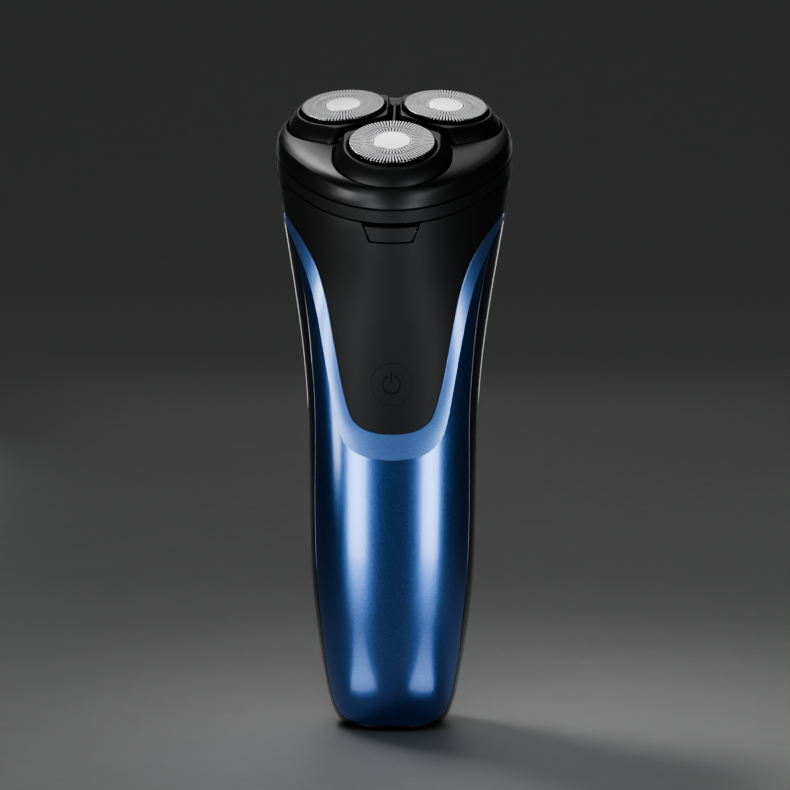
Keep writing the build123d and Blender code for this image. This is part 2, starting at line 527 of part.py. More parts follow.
tabs = [box(-2.5, 2.5, by - 5.5, by + 6.5, bz0 - 0.25, bz0), box(-2.5, 2.5, by - 5.5, by + 6.5, bz0 + BATTERY_L + 0.8, bz0 + BATTERY_L + 1.05)]
keep("battery_tabs", Compound([t.solid() for t in tabs]))

# charging inlet
body = box(-5.4, 5.4, 0.0, 5.0, 3.0, 10.5) + box(-7.6, 7.6, 1.4, 3.6, 7.6, 9.6) - slot(inlet_half + 0.1, inlet_r, 2, 9.2)
keep("charging_socket", solid(body - box(-2.0, 2.0, 2.3, 2.7, 9.2, 12.6)))
keep("socket_contacts", box(-2.4, 2.4, 2.15, 2.85, 4.2, 9.2) + box(-2.0, 2.0, 2.3, 2.7, 9.2, 12.6))
seal = slot(inlet_half + 1.4, inlet_r + 1.4, 2.0, 3.0) - slot(inlet_half, inlet_r, 1, 4)
keep("socket_seal", solid(seal))

for name, shape in NODES.items():
    export_step(shape, "parts/" + name + ".step")
print(len(NODES), "parts")
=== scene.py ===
import bpy
import json
import math
import numpy as np
from math import radians, pi, sin, cos, tan, hypot, sqrt
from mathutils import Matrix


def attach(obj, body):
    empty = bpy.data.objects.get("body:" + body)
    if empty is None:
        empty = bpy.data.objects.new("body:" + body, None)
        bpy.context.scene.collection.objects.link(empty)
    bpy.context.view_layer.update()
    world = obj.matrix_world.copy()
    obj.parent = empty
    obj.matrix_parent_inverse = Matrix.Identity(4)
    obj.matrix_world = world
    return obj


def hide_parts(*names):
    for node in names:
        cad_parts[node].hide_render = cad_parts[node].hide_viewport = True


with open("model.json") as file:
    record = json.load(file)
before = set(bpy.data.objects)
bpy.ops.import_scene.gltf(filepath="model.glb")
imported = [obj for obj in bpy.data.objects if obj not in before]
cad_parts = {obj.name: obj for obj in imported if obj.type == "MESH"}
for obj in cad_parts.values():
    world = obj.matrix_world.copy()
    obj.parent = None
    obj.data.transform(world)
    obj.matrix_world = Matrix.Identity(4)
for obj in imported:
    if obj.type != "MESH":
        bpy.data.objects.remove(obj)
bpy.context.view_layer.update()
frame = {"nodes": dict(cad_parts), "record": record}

# ------------------------------------------------------------------ the part's own dimensions, in millimetres
TILT = radians(24.0)
HEAD_Z = 144.5
Y_SHIFT = frame["record"]["mounts"][0]["pos_m"][1] * 1000 + 4.5
POD_R, POD_LEAN, POD_PIVOT = 14.9, radians(4.5), 10.0
POD_W, POD_TOP_W, POD_SPLIT, WELL_GAP = 14.7, 12.3, 11.92, 0.42
DISC_R, DISC_TOP = 10.8, 5.4
HINGE_Y, HINGE_Z, HINGE_R = 29.9, 3.0, 1.7
POWER_Z, POWER_R = 90.8, 5.4
WALL, PANEL_T = 1.8, 1.6
DIRS = {"front": -90.0, "right": 30.0, "left": 150.0}

HALF_W = [(0, 12.3), (0.9, 13.55), (2.9, 14.98), (5.5, 16.16), (10.9, 17.47), (16.3, 18.34), (21.6, 19.18),
          (27, 19.92), (37.6, 21.07), (48.2, 21.50), (58.8, 21.66), (69.4, 21.82), (79.9, 22.11), (90.3, 22.67),
          (100.8, 23.74), (111.2, 25.32), (121.6, 27.10), (131.9, 28.87), (137.1, 29.60), (144.5, 30.55), (152, 30.9)]
FRONT_D = [(0, 10.6), (0.9, 11.8), (2.9, 13.1), (5.5, 14.1), (10.9, 15.2), (16.3, 15.9), (27, 16.7), (48.2, 17.2),
           (69.4, 17.3), (85, 17.5), (95, 18.0), (105, 19.2), (115, 21.2), (125, 24.4), (135, 28.1), (144.5, 31.6), (152, 31.9)]
REAR_D = [(0, 10.2), (0.9, 11.4), (2.9, 12.8), (5.5, 13.8), (10.9, 14.9), (16.3, 15.6), (27, 16.5), (48.2, 17.4),
          (69.4, 18.0), (85, 18.8), (95, 19.6), (105, 20.8), (115, 22.3), (125, 24.2), (135, 26.2), (144.5, 27.9), (152, 28.2)]
PANEL_SINK = [(60, 1.2), (90, 1.2), (110, 1.0), (124, 0.68), (132, 0.28), (139, 0.05), (152, 0.0)]
PARTING = [(-11.6, 1.5), (-8.8, 2.7), (-7.2, 6.5), (-6.9, 12.9), (-7.4, 20), (-8.1, 29), (-8.15, 45), (-8.15, 60), (-8.7, 70.5),
           (-9.3, 80), (-9.8, 91), (-10.25, 101.5), (-10.3, 107), (-10.1, 112), (-9.65, 117), (-9.0, 122), (-8.3, 125), (-6.8, 127),
           (-4.4, 129.4), (-1.9, 132), (1.0, 134.1)]
PANEL_EDGE = [(0, 78.0), (4.45, 78.4), (7.12, 79.2), (9.28, 80.6), (10.6, 82.1), (11.62, 84.4), (12.5, 87.2), (13.7, 91.9),
              (14.65, 97), (15.6, 102.1), (16.5, 107.2), (17.45, 112.3), (18.75, 117.3), (20.55, 122.2), (23.4, 127.2), (26.9, 131.9),
              (30.5, 135.6), (34.0, 138.6)]
BAND_EDGE = [(0, 71.5), (5.09, 72.0), (8.4, 72.9), (10.75, 74.4), (12.55, 76.6), (13.6, 79.2), (14.35, 82.0), (15.24, 86.8),
             (16.1, 91.9), (16.95, 97), (17.9, 102.1), (18.85, 107.2), (20.0, 112.3), (21.5, 117.3), (23.4, 122.2), (26.2, 127.2),
             (29.5, 132.5), (33.0, 137.5)]


# ------------------------------------------------------------------ smooth tables and curves
def pchip(tab, xs):
    x = np.array([p[0] for p in tab], float)
    y = np.array([p[1] for p in tab], float)
    h = np.diff(x)
    d = np.diff(y) / h
    m = np.zeros(len(x))
    m[0], m[-1] = d[0], d[-1]
    for i in range(1, len(x) - 1):
        if d[i - 1] * d[i] > 0:
            m[i] = 3 * (h[i - 1] + h[i]) / ((2 * h[i] + h[i - 1]) / d[i - 1] + (h[i] + 2 * h[i - 1]) / d[i])
    k = np.clip(np.searchsorted(x, xs, side="right") - 1, 0, len(x) - 2)
    t = np.clip((xs - x[k]) / h[k], 0, 1)
    return ((1 + 2 * t) * (1 - t) ** 2 * y[k] + t * (1 - t) ** 2 * h[k] * m[k]
            + t * t * (3 - 2 * t) * y[k + 1] + t * t * (t - 1) * h[k] * m[k + 1])


class Table:
    """dense, gently smoothed version of a table of pairs"""

    def __init__(self, tab, sigma=5.0, step=0.1):
        lo, hi = tab[0][0], tab[-1][0]
        self.x = np.arange(lo, hi + step / 2, step)
        y = pchip(tab, self.x)
        if sigma:
            out = y.copy()
            for s in (sigma, sigma / 2, sigma / 4, sigma / 8):
                n = int(3 * s / step)
                k = np.exp(-0.5 * (np.arange(-n, n + 1) * step / s) ** 2)
                k /= k.sum()
                left = 2 * y[0] - y[1:n + 1][::-1]
                right = 2 * y[-1] - y[-n - 1:-1][::-1]
                z = np.convolve(np.concatenate([left, y, right]), k, mode="valid")
                # less smoothing towards the ends of the table
                near = np.minimum(self.x - lo, hi - self.x)
                if s == sigma:
                    out = np.where(near > 3.0 * s, z, out)
                    last, last_s = z, s
                else:
                    w = np.clip((near - 3.0 * s) / (3.0 * last_s - 3.0 * s), 0, 1)
                    w = w * w * (3 - 2 * w)
                    mix = z * (1 - w) + last * w
                    out = np.where((near <= 3.0 * last_s) & (near > 3.0 * s), mix, out)
                    last, last_s = z, s
            y = out
        self.y = y

    def __call__(self, v):
        return np.interp(v, self.x, self.y)


T_W, T_F, T_R = Table(HALF_W), Table(FRONT_D), Table(REAR_D)
T_SINK = Table(PANEL_SINK, 3.0)


def smooth(t):
    t = np.clip(t, 0.0, 1.0)
    return t * t * (3 - 2 * t)


def catmull(points, step=0.3):
    """smooth curve through points, sampled about every step"""
    p = np.array(points, float)
    p = np.vstack([2 * p[0] - p[1], p, 2 * p[-1] - p[-2]])
    out = []
    for i in range(1, len(p) - 2):
        a, b, c, d = p[i - 1], p[i], p[i + 1], p[i + 2]
        la, lb, lc = np.linalg.norm(b - a) ** 0.5, np.linalg.norm(c - b) ** 0.5, np.linalg.norm(d - c) ** 0.5
        n = max(2, int(np.linalg.norm(c - b) / step))
        m1 = lb * ((b - a) / la - (c - a) / (la + lb)) + (c - b)
        m2 = lb * ((d - c) / lc - (d - b) / (lb + lc)) + (c - b)
        for t in np.arange(n) / n:
            out.append((2 * t ** 3 - 3 * t * t + 1) * b + (t ** 3 - 2 * t * t + t) * m1 + (3 * t * t - 2 * t ** 3) * c + (t ** 3 - t * t) * m2)
    out.append(p[-2])
    return np.array(out)


def signed_distance(q, line, closed=False):
    """distance of points q (n,2) to a polyline; positive on the left of its direction"""
    a = line
    b = np.roll(line, -1, 0) if closed else line[1:]
    if not closed:
        a = line[:-1]
    ab = b - a
    l2 = np.maximum((ab ** 2).sum(1), 1e-12)
    out = np.empty(len(q))
    for i in range(0, len(q), 4000):
        p = q[i:i + 4000]
        ap = p[:, None, :] - a[None]
        t = np.clip((ap * ab[None]).sum(2) / l2[None], 0, 1)
        d = ap - t[..., None] * ab[None]
        dist = (d ** 2).sum(2)
        k = dist.argmin(1)
        r = np.arange(len(p))
        cr = ab[k, 0] * ap[r, k, 1] - ab[k, 1] * ap[r, k, 0]
        out[i:i + 4000] = np.sqrt(dist[r, k]) * np.where(cr >= 0, 1.0, -1.0)
    return out


def mirror_curve(points, step=0.3):
    left = [(-x, z) for x, z in reversed(points)]
    return catmull(left[:-1] + list(points), step)


def rounded(poly, radii, seg=8):
    """closed polygon, counter-clockwise, with rounded corners"""
    out = []
    n = len(poly)
    for i in range(n):
        p, a, b = np.array(poly[i], float), np.array(poly[i - 1], float), np.array(poly[(i + 1) % n], float)
        r = radii[i] if hasattr(radii, "__len__") else radii
        u, v = (a - p) / np.linalg.norm(a - p), (b - p) / np.linalg.norm(b - p)
        ang = np.arccos(np.clip(u @ v, -1, 1))
        if r <= 0 or abs(ang - pi) < 1e-3:
            out.append(p)
            continue
        t = min(r / tan(ang / 2), 0.49 * np.linalg.norm(a - p), 0.49 * np.linalg.norm(b - p))
        r = t * tan(ang / 2)
        c = p + (u + v) / np.linalg.norm(u + v) * (r / sin(ang / 2))
        s0, s1 = p + u * t - c, p + v * t - c
        a0 = math.atan2(s0[1], s0[0])
        da = math.atan2(s0[0] * s1[1] - s0[1] * s1[0], s0 @ s1)
        for k in range(seg + 1):
            w = a0 + da * k / seg
            out.append(c + r * np.array([cos(w), sin(w)]))
    return np.array(out)


# ------------------------------------------------------------------ the handle's surface
def section(th, s, zero=0.0):
    w, df, db = T_W(s), T_F(s), T_R(s)
    k = smooth((s - 92) / (HEAD_Z - 92))
    n = 2.35
    c, d = np.abs(np.cos(th)) / w, np.abs(np.sin(th)) / np.where(np.sin(th) < 0, df, db)
    r = (c ** n + d ** n) ** (-1 / n)
    ax, ay = r * np.cos(th), r * np.sin(th)
    rb = 29.9 + 1.8 * np.cos(3 * (th + pi / 2))
    bx, by = rb * np.cos(th) * w / 30.34, rb * np.sin(th)
    q = smooth((by + 14) / 28)
    by = by * (df / 31.7 * (1 - q) + db / 28.1 * q)
    return ax * (1 - k) + bx * k, ay * (1 - k) + by * k


def body_surface(uv):
    """uv: angle and section height; below zero the section closes over the flat base"""
    th, s = uv[:, 0], uv[:, 1]
    sc = np.maximum(s, 0.0)
    x, y = section(th, sc)
    f = np.where(s < 0, 1 + s / 12.0, 1.0)
    x, y = x * f, y * f
    t = TILT * smooth((sc - 78) / (HEAD_Z - 78))
    return np.stack([x, y * np.cos(t), sc + y * np.sin(t)], 1)


def to_head(p):
    """handle frame to head frame"""
    y, z = p[:, 1], p[:, 2] - HEAD_Z
    return np.stack([p[:, 0], y * cos(TILT) + z * sin(TILT), -y * sin(TILT) + z * cos(TILT)], 1)


def from_head(p):
    y, z = p[:, 1], p[:, 2]
    return np.stack([p[:, 0], y * cos(TILT) - z * sin(TILT), y * sin(TILT) + z * cos(TILT) + HEAD_Z], 1)


def pod_frame(side):
    a = radians(DIRS[side])
    t = POD_LEAN
    o = np.array([POD_R * cos(a), POD_R * sin(a), POD_PIVOT])
    ux = np.array([cos(a) * cos(t), sin(a) * cos(t), -sin(t)])
    uz = np.array([cos(a) * sin(t), sin(a) * sin(t), cos(t)])
    return o, np.stack([ux, np.cross(uz, ux), uz])


def pod_to_head(p, side):
    o, m = pod_frame(side)
    return o + p @ m


def head_to_pod(p, side):
    o, m = pod_frame(side)
    return (p - o) @ m.T


# ------------------------------------------------------------------ meshes
COLLECTION = bpy.context.scene.collection


def make_object(name, verts_mm, faces, material, normals=None, sharp=None, weld=True):
    v = np.asarray(verts_mm, float)
    faces = [tuple(f) for f in faces]
    if weld:
        key = np.round(v * 2e4).astype(np.int64)
        if normals is not None:
            key = np.hstack([key, np.round(np.asarray(normals) * 3).astype(np.int64)])
        _, first, back = np.unique(key, axis=0, return_index=True, return_inverse=True)
        back = back.ravel()
        v = v[first]
        if normals is not None:
            normals = np.asarray(normals)[first]
        new = []
        for f in faces:
            g = [int(back[i]) for i in f]
            h = [g[i] for i in range(len(g)) if g[i] != g[i - 1]]
            if len(h) >= 3 and len(set(h)) == len(h):
                new.append(tuple(h))
        faces = new
    v = v + np.array([0, Y_SHIFT, 0])
    mesh = bpy.data.meshes.new(name)
    mesh.from_pydata((v * 0.001).tolist(), [], faces)
    mesh.validate(clean_customdata=False)
    mesh.shade_smooth()
    if normals is not None and len(mesh.vertices) == len(normals):
        mesh.normals_split_custom_set_from_vertices(np.asarray(normals, float).tolist())
    elif sharp is not None:
        mesh.set_sharp_from_angle(angle=radians(sharp))
    ob = bpy.data.objects.new(name, mesh)
    COLLECTION.objects.link(ob)
    ob.data.materials.append(material)
    return ob


def grid_uv(us, vs):
    u, v = np.meshgrid(us, vs)
    uv = np.stack([u.ravel(), v.ravel()], 1)
    n, m = len(us), len(vs)
    i = np.arange(n * m).reshape(m, n)
    a, b, c, d = i[:-1, :-1].ravel(), i[:-1, 1:].ravel(), i[1:, 1:].ravel(), i[1:, :-1].ravel()
    flip = ((np.arange(m - 1)[:, None] + np.arange(n - 1)[None]) % 2).ravel().astype(bool)
    t1 = np.where(flip[:, None], np.stack([a, b, c], 1), np.stack([a, b, d], 1))
    t2 = np.where(flip[:, None], np.stack([a, c, d], 1), np.stack([b, c, d], 1))
    return uv, np.vstack([t1, t2])


class Patch:
    """triangles over a surface's own coordinates, which can be cut along level lines of any field"""

    def __init__(self, surface, uv, tris):
        self.surface, self.uv, self.tris = surface, uv, tris

    def compact(self):
        used = np.unique(self.tris)
        back = np.full(len(self.uv), -1)
        back[used] = np.arange(len(used))
        self.uv, self.tris = self.uv[used], back[self.tris]

    def cut(self, field, level=0.0, keep=False):
        f = field(self.uv) - level
        f[np.abs(f) < 0.004] = 0.0
        t = self.tris
        sg = np.sign(f[t])
        mixed = (sg.max(1) > 0) & (sg.min(1) < 0)
        done = t[~mixed]
        new_uv, count = [], len(self.uv)
        seen = {}
        out = []

        def mid(a, b):
            nonlocal count
            k = (a, b) if a < b else (b, a)
            if k not in seen:
                w = f[k[0]] / (f[k[0]] - f[k[1]])
                w = min(max(w, 0.0), 1.0)
                # one secant step on the true field
                p = self.uv[k[0]] * (1 - w) + self.uv[k[1]] * w
                new_uv.append((k, w))
                seen[k] = count
                count += 1
            return seen[k]

        for a, b, c in t[mixed].tolist():
            s = (np.sign(f[a]), np.sign(f[b]), np.sign(f[c]))
            if 0 in s:
                while s[0] != 0:
                    a, b, c = b, c, a
                    s = (s[1], s[2], s[0])
                m = mid(b, c)
                out += [(a, b, m), (a, m, c)]
            else:
                while s[1] != s[2]:
                    a, b, c = b, c, a
                    s = (s[1], s[2], s[0])
                m, n = mid(a, b), mid(a, c)
                out += [(a, m, n), (m, b, c), (m, c, n)]
        if new_uv:
            ks = np.array([k for k, _ in new_uv])
            w = np.array([w for _, w in new_uv])
            lo, hi = np.zeros(len(w)), np.ones(len(w))
            flo = f[ks[:, 0]]
            for _ in range(3):
                p = self.uv[ks[:, 0]] * (1 - w[:, None]) + self.uv[ks[:, 1]] * w[:, None]
                g = field(p) - level
                same = np.sign(g) == np.sign(flo)
                lo, hi = np.where(same, w, lo), np.where(same, hi, w)
                gl = np.where(same, g, flo)
                w = np.clip(np.where(same, w + (1 - w) * 0.0, w), 0, 1)
                # regula falsi on the bracket
                pl = self.uv[ks[:, 0]] * (1 - lo[:, None]) + self.uv[ks[:, 1]] * lo[:, None]
                ph = self.uv[ks[:, 0]] * (1 - hi[:, None]) + self.uv[ks[:, 1]] * hi[:, None]
                fl, fh = field(pl) - level, field(ph) - level
                den = fl - fh
                w = np.where(np.abs(den) > 1e-9, lo + (hi - lo) * fl / np.where(np.abs(den) > 1e-9, den, 1), w)
            w = np.clip(w, 0.02, 0.98)
            p = self.uv[ks[:, 0]] * (1 - w[:, None]) + self.uv[ks[:, 1]] * w[:, None]
            self.uv = np.vstack([self.uv, p])
            f = np.concatenate([f, np.zeros(len(p))])
        self.tris = np.vstack([done, np.array(out, int).reshape(-1, 3)])
        if keep:
            sg = np.sign(f[self.tris])
            self.tris = self.tris[(sg.min(1) >= 0) & (sg.max(1) > 0)]
            self.compact()
        return self

    def keep(self, field, level=0.0):
        return self.cut(field, level, keep=True)

    def levels(self, field, values):
        for v in values:
            self.cut(field, v)
        return self

    def normal(self, uv, f, eps=(0.0006, 0.02)):
        du, dv = np.array([eps[0], 0]), np.array([0, eps[1]])
        a = f(uv + du) - f(uv - du)
        b = f(uv + dv) - f(uv - dv)
        n = np.cross(a, b)
        return n / np.maximum(np.linalg.norm(n, axis=1, keepdims=True), 1e-12)

    def build(self, depth, thick, sign=1.0, close=True, eps=(0.0006, 0.02)):
        """depth(uv): how far below the surface the piece lies; thick: how deep its walls go"""
        base = lambda uv: self.surface(uv)
        nb = lambda uv: sign * self.normal(uv, base, eps)
        full = lambda uv: base(uv) - nb(uv) * depth(uv)[:, None]
        p = full(self.uv)
        n = sign * self.normal(self.uv, full, eps)
        t = self.tris
        tn = np.cross(p[t[:, 1]] - p[t[:, 0]], p[t[:, 2]] - p[t[:, 0]])
        flip = (tn * n[t].sum(1)).sum(1) < 0
        t = np.where(flip[:, None], t[:, ::-1], t)
        th = thick(self.uv) if callable(thick) else np.full(len(self.uv), float(thick))
        pin = base(self.uv) - nb(self.uv) * th[:, None]
        e = np.vstack([t[:, [0, 1]], t[:, [1, 2]], t[:, [2, 0]]])
        pos = np.round(p * 2e4).astype(np.int64)
        _, same = np.unique(pos, axis=0, return_inverse=True)
        same = same.ravel()
        code = lambda x, y: x.astype(np.int64) * (len(p) + 1) + y
        fw = code(same[e[:, 0]], same[e[:, 1]])
        bw = code(same[e[:, 1]], same[e[:, 0]])
        rim = e[~np.isin(fw, bw) & (same[e[:, 0]] != same[e[:, 1]])]
        verts, norms, faces = [p], [n], [t]
        off = len(p)
        if close:
            verts.append(pin)
            norms.append(-nb(self.uv))
            faces.append(t[:, ::-1] + off)
            off += len(p)
        # walls along the rim
        a, b = rim[:, 0], rim[:, 1]
        wn = np.cross(p[b] - p[a], -nb(self.uv)[a] * -1.0)
        wn /= np.maximum(np.linalg.norm(wn, axis=1, keepdims=True), 1e-12)
        acc = np.zeros_like(p)
        np.add.at(acc, a, wn)
        np.add.at(acc, b, wn)
        ids = np.unique(rim)
        acc = acc[ids] / np.maximum(np.linalg.norm(acc[ids], axis=1, keepdims=True), 1e-12)
        look = np.full(len(p), -1)
        look[ids] = np.arange(len(ids))
        verts += [p[ids], pin[ids]]
        norms += [acc, acc]
        k = len(ids)
        A, B = look[a] + off, look[b] + off
        quads = np.stack([B, A, A + k, B + k], 1)
        wallf = np.vstack([quads[:, [0, 1, 2]], quads[:, [0, 2, 3]]])
        faces.append(wallf)
        return np.vstack(verts), np.vstack(faces), np.vstack(norms)


def roll(d, r):
    """depth of a rounded edge of radius r at distance d from it"""
    q = np.clip(1 - d / r, 0.0, 0.999)
    return r * (1 - np.sqrt(1 - q * q))


ROLL = (0.05, 0.18, 0.4, 0.7, 1.0)


# ------------------------------------------------------------------ procedural materials
def nodes_of(name):
    m = bpy.data.materials.new(name)
    m.use_nodes = True
    nt = m.node_tree
    nt.nodes.clear()
    out = nt.nodes.new("ShaderNodeOutputMaterial")
    b = nt.nodes.new("ShaderNodeBsdfPrincipled")
    nt.links.new(b.outputs[0], out.inputs[0])
    tc = nt.nodes.new("ShaderNodeTexCoord")
    return m, nt, b, tc.outputs["Object"]


def noise(nt, vec, scale, detail=3.0, rough=0.5, stretch=None):
    if stretch:
        mp = nt.nodes.new("ShaderNodeMapping")
        mp.inputs["Scale"].default_value = stretch
        nt.links.new(vec, mp.inputs["Vector"])
        vec = mp.outputs[0]
    n = nt.nodes.new("ShaderNodeTexNoise")
    n.inputs["Scale"].default_value = scale
    n.inputs["Detail"].default_value = detail
    n.inputs["Roughness"].default_value = rough
    nt.links.new(vec, n.inputs["Vector"])
    return n.outputs["Fac"]


def remap(nt, src, lo, hi, a=0.3, b=0.7):
    r = nt.nodes.new("ShaderNodeMapRange")
    r.inputs["From Min"].default_value = a
    r.inputs["From Max"].default_value = b
    r.inputs["To Min"].default_value = lo
    r.inputs["To Max"].default_value = hi
    nt.links.new(src, r.inputs["Value"])
    return r.outputs[0]


def ramp(nt, src, stops):
    r = nt.nodes.new("ShaderNodeValToRGB")
    e = r.color_ramp.elements
    while len(e) < len(stops):
        e.new(0.5)
    for k, (p, c) in enumerate(stops):
        e[k].position = p
        e[k].color = (*c, 1)
    nt.links.new(src, r.inputs[0])
    return r.outputs[0]


def bump(nt, b, height, distance, strength=1.0, socket="Normal"):
    n = nt.nodes.new("ShaderNodeBump")
    n.inputs["Distance"].default_value = distance
    n.inputs["Strength"].default_value = strength
    nt.links.new(height, n.inputs["Height"])
    nt.links.new(n.outputs[0], b.inputs[socket])
    return n


def plastic(name, colour, rough, spread=0.06, grain=2500.0, depth=0.00002, strength=0.35, coat=0.0, coat_rough=0.1,
            vary=0.10, spec=0.5, metallic=0.0):
    m, nt, b, co = nodes_of(name)
    fine = noise(nt, co, grain, 4.0, 0.6)
    wide = noise(nt, co, 60.0, 3.0, 0.55)
    dark = tuple(c * (1 - vary) for c in colour)
    lite = tuple(min(1, c * (1 + vary)) for c in colour)
    nt.links.new(ramp(nt, wide, [(0.3, dark), (0.7, lite)]), b.inputs["Base Color"])
    nt.links.new(remap(nt, fine, rough - spread, rough + spread), b.inputs["Roughness"])
    bump(nt, b, fine, depth, strength)
    b.inputs["Metallic"].default_value = metallic
    b.inputs["Specular IOR Level"].default_value = spec
    if coat:
        b.inputs["Coat Weight"].default_value = coat
        b.inputs["Coat Roughness"].default_value = coat_rough
    return m


def metal(name, colour, rough, spread=0.06, scale=900.0, stretch=None, depth=0.00001, strength=0.3, vary=0.08):
    m, nt, b, co = nodes_of(name)
    fine = noise(nt, co, scale, 4.0, 0.6, stretch)
    wide = noise(nt, co, 110.0, 4.0, 0.6)
    dark = tuple(c * (1 - vary) for c in colour)
    lite = tuple(min(1, c * (1 + vary)) for c in colour)
    nt.links.new(ramp(nt, wide, [(0.32, dark), (0.68, lite)]), b.inputs["Base Color"])
    nt.links.new(remap(nt, fine, rough - spread, rough + spread), b.inputs["Roughness"])
    bump(nt, b, fine, depth, strength)
    b.inputs["Metallic"].default_value = 1.0
    return m


def lacquer(name, deep, bright, rough, flake=5200.0, metallic=0.9, coat=1.0, coat_rough=0.04):
    """metallic paint under clear coat: flakes vary in tint and tilt"""
    m, nt, b, co = nodes_of(name)
    v = nt.nodes.new("ShaderNodeTexVoronoi")
    v.inputs["Scale"].default_value = flake
    nt.links.new(co, v.inputs["Vector"])
    sep = nt.nodes.new("ShaderNodeSeparateColor")
    nt.links.new(v.outputs["Color"], sep.inputs[0])
    nt.links.new(ramp(nt, sep.outputs[0], [(0.0, deep), (1.0, bright)]), b.inputs["Base Color"])
    nt.links.new(remap(nt, sep.outputs[1], rough - 0.05, rough + 0.05, 0.0, 1.0), b.inputs["Roughness"])
    bump(nt, b, sep.outputs[2], 0.000006, 0.22)
    b.inputs["Metallic"].default_value = metallic
    b.inputs["Coat Weight"].default_value = coat
    b.inputs["Coat Roughness"].default_value = coat_rough
    return m


M = {
    "blue_shell": lacquer("blue_shell", (0.072, 0.180, 0.52), (0.115, 0.250, 0.68), 0.25, 12000.0, metallic=1.0, coat_rough=0.09),
    # the bevel's lighter, brighter blue is a painted highlight of the light the band reflects; its paint is the same as
    # the shell's
    "bevel_painted_highlight": lacquer("bevel_painted_highlight", (0.12, 0.26, 0.66), (0.20, 0.38, 0.88), 0.42, 9000.0, metallic=1.0, coat_rough=0.16),
    "gloss_black": lacquer("gloss_black", (0.003, 0.004, 0.008), (0.006, 0.009, 0.018), 0.22, 12000.0, metallic=0.35),
    "soft_black": plastic("soft_black", (0.0062, 0.0062, 0.0066), 0.52, 0.05, 3600.0, 0.000018, 0.45, vary=0.10, spec=0.30),
    "satin_black": plastic("satin_black", (0.0050, 0.0050, 0.0054), 0.38, 0.04, 2800.0, 0.000014, 0.3, vary=0.10, spec=0.45),
    "pod_black": plastic("pod_black", (0.0050, 0.0050, 0.0054), 0.44, 0.04, 2800.0, 0.000012, 0.3, vary=0.10, spec=0.45),
    "sign_black": plastic("sign_black", (0.0016, 0.0016, 0.0017), 0.45, 0.05, 3200.0, 0.00001, 0.3, vary=0.05, spec=0.3),
    # near-black steel painted on the foil's slot walls, underside and skirt as shade
    "slot_painted_shade": metal("slot_painted_shade", (0.012, 0.012, 0.013), 0.55, 0.08, 1500.0, None, 0.00001, 0.3, 0.15),
    # dark grey plastic; on the cutter hubs it stands in for shade under the slots
    "inner_plastic": plastic("inner_plastic", (0.035, 0.037, 0.042), 0.5, 0.06, 1800.0, 0.00003, 0.5, vary=0.12),
    "white_acetal": plastic("white_acetal", (0.74, 0.735, 0.70), 0.40, 0.05, 1500.0, 0.00002, 0.3, vary=0.04),
    "cutter_steel": metal("cutter_steel", (0.62, 0.62, 0.63), 0.26, 0.05, 1500.0, None, 0.000008, 0.3, 0.06),
    "ring_steel": metal("ring_steel", (0.30, 0.30, 0.31), 0.32, 0.10, 2600.0, None, 0.00001, 0.4, 0.30),
    "cap_steel": metal("cap_steel", (0.93, 0.93, 0.94), 0.15, 0.04, 700.0, (1.0, 9.0, 1.0), 0.000004, 0.25, 0.04),
    # inner cutters darkened well below steel: painted shade for the blades seen through the slots
    "blade_steel_painted_shade": metal("blade_steel_painted_shade", (0.045, 0.045, 0.048), 0.42, 0.06, 1200.0, None, 0.00001, 0.3, 0.08),
    "motor_can": metal("motor_can", (0.60, 0.60, 0.58), 0.34, 0.06, 700.0, (1, 1, 12), 0.00002, 0.4),
    "plain_steel": metal("plain_steel", (0.55, 0.55, 0.56), 0.30, 0.06, 900.0, None, 0.00001, 0.3),
    "contact_metal": metal("contact_metal", (0.78, 0.62, 0.30), 0.28, 0.05, 900.0, None, 0.00001, 0.3),
    "cell_wrap": plastic("cell_wrap", (0.03, 0.20, 0.12), 0.34, 0.05, 900.0, 0.00002, 0.4, coat=0.3, vary=0.08),
    "board_green": plastic("board_green", (0.015, 0.10, 0.045), 0.36, 0.06, 1400.0, 0.00002, 0.4, coat=0.4, vary=0.25),
    "component_black": plastic("component_black", (0.02, 0.02, 0.022), 0.45, 0.08, 1500.0, 0.00003, 0.5, vary=0.15),
    "seal_rubber": plastic("seal_rubber", (0.022, 0.022, 0.023), 0.66, 0.06, 1400.0, 0.00004, 0.6, vary=0.12),
}

FINISH = {
    "front_shell": "blue_shell", "rear_shell": "gloss_black", "front_panel": "soft_black", "top_deck": "inner_plastic",
    "gear_carrier": "inner_plastic", "motor": "motor_can", "motor_pinion": "white_acetal", "deck_screws": "plain_steel",
    "spindle_seals": "seal_rubber", "hinge_pin": "plain_steel", "release_spring": "plain_steel", "release_button": "soft_black",
    "power_button": "soft_black", "button_membrane": "seal_rubber", "tact_switch": "component_black", "circuit_board": "board_green",
    "board_components": "component_black", "board_screws": "plain_steel", "inner_frame": "inner_plastic", "battery_cell": "cell_wrap",
    "battery_tabs": "contact_metal", "charging_socket": "component_black", "socket_contacts": "contact_metal",
    "socket_seal": "seal_rubber", "neck_ring": "soft_black", "head_cover": "satin_black", "retaining_frame": "inner_plastic",
    "lock_knob": "inner_plastic"}
# the cutter hubs, white plastic in the real shaver, take the dark inner plastic as painted shade where they show
# through the slots
for side in DIRS:
    FINISH.update({"pod_" + side: "pod_black", "outer_cutter_" + side: "cutter_steel", "cutter_cap_" + side: "cap_steel",
                   "inner_cutter_" + side: "blade_steel_painted_shade", "cutter_hub_" + side: "inner_plastic",
                   "drive_gear_" + side: "white_acetal", "drive_spindle_" + side: "white_acetal"})
for name, ob in frame["nodes"].items():
    if ob.material_slots:
        for s in ob.material_slots:
            s.material = M[FINISH[name]]
    else:
        ob.data.materials.append(M[FINISH[name]])


def place(ob, body, node=None, extra=()):
    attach(ob, body)
    if node:
        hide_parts(node, *extra)
    return ob


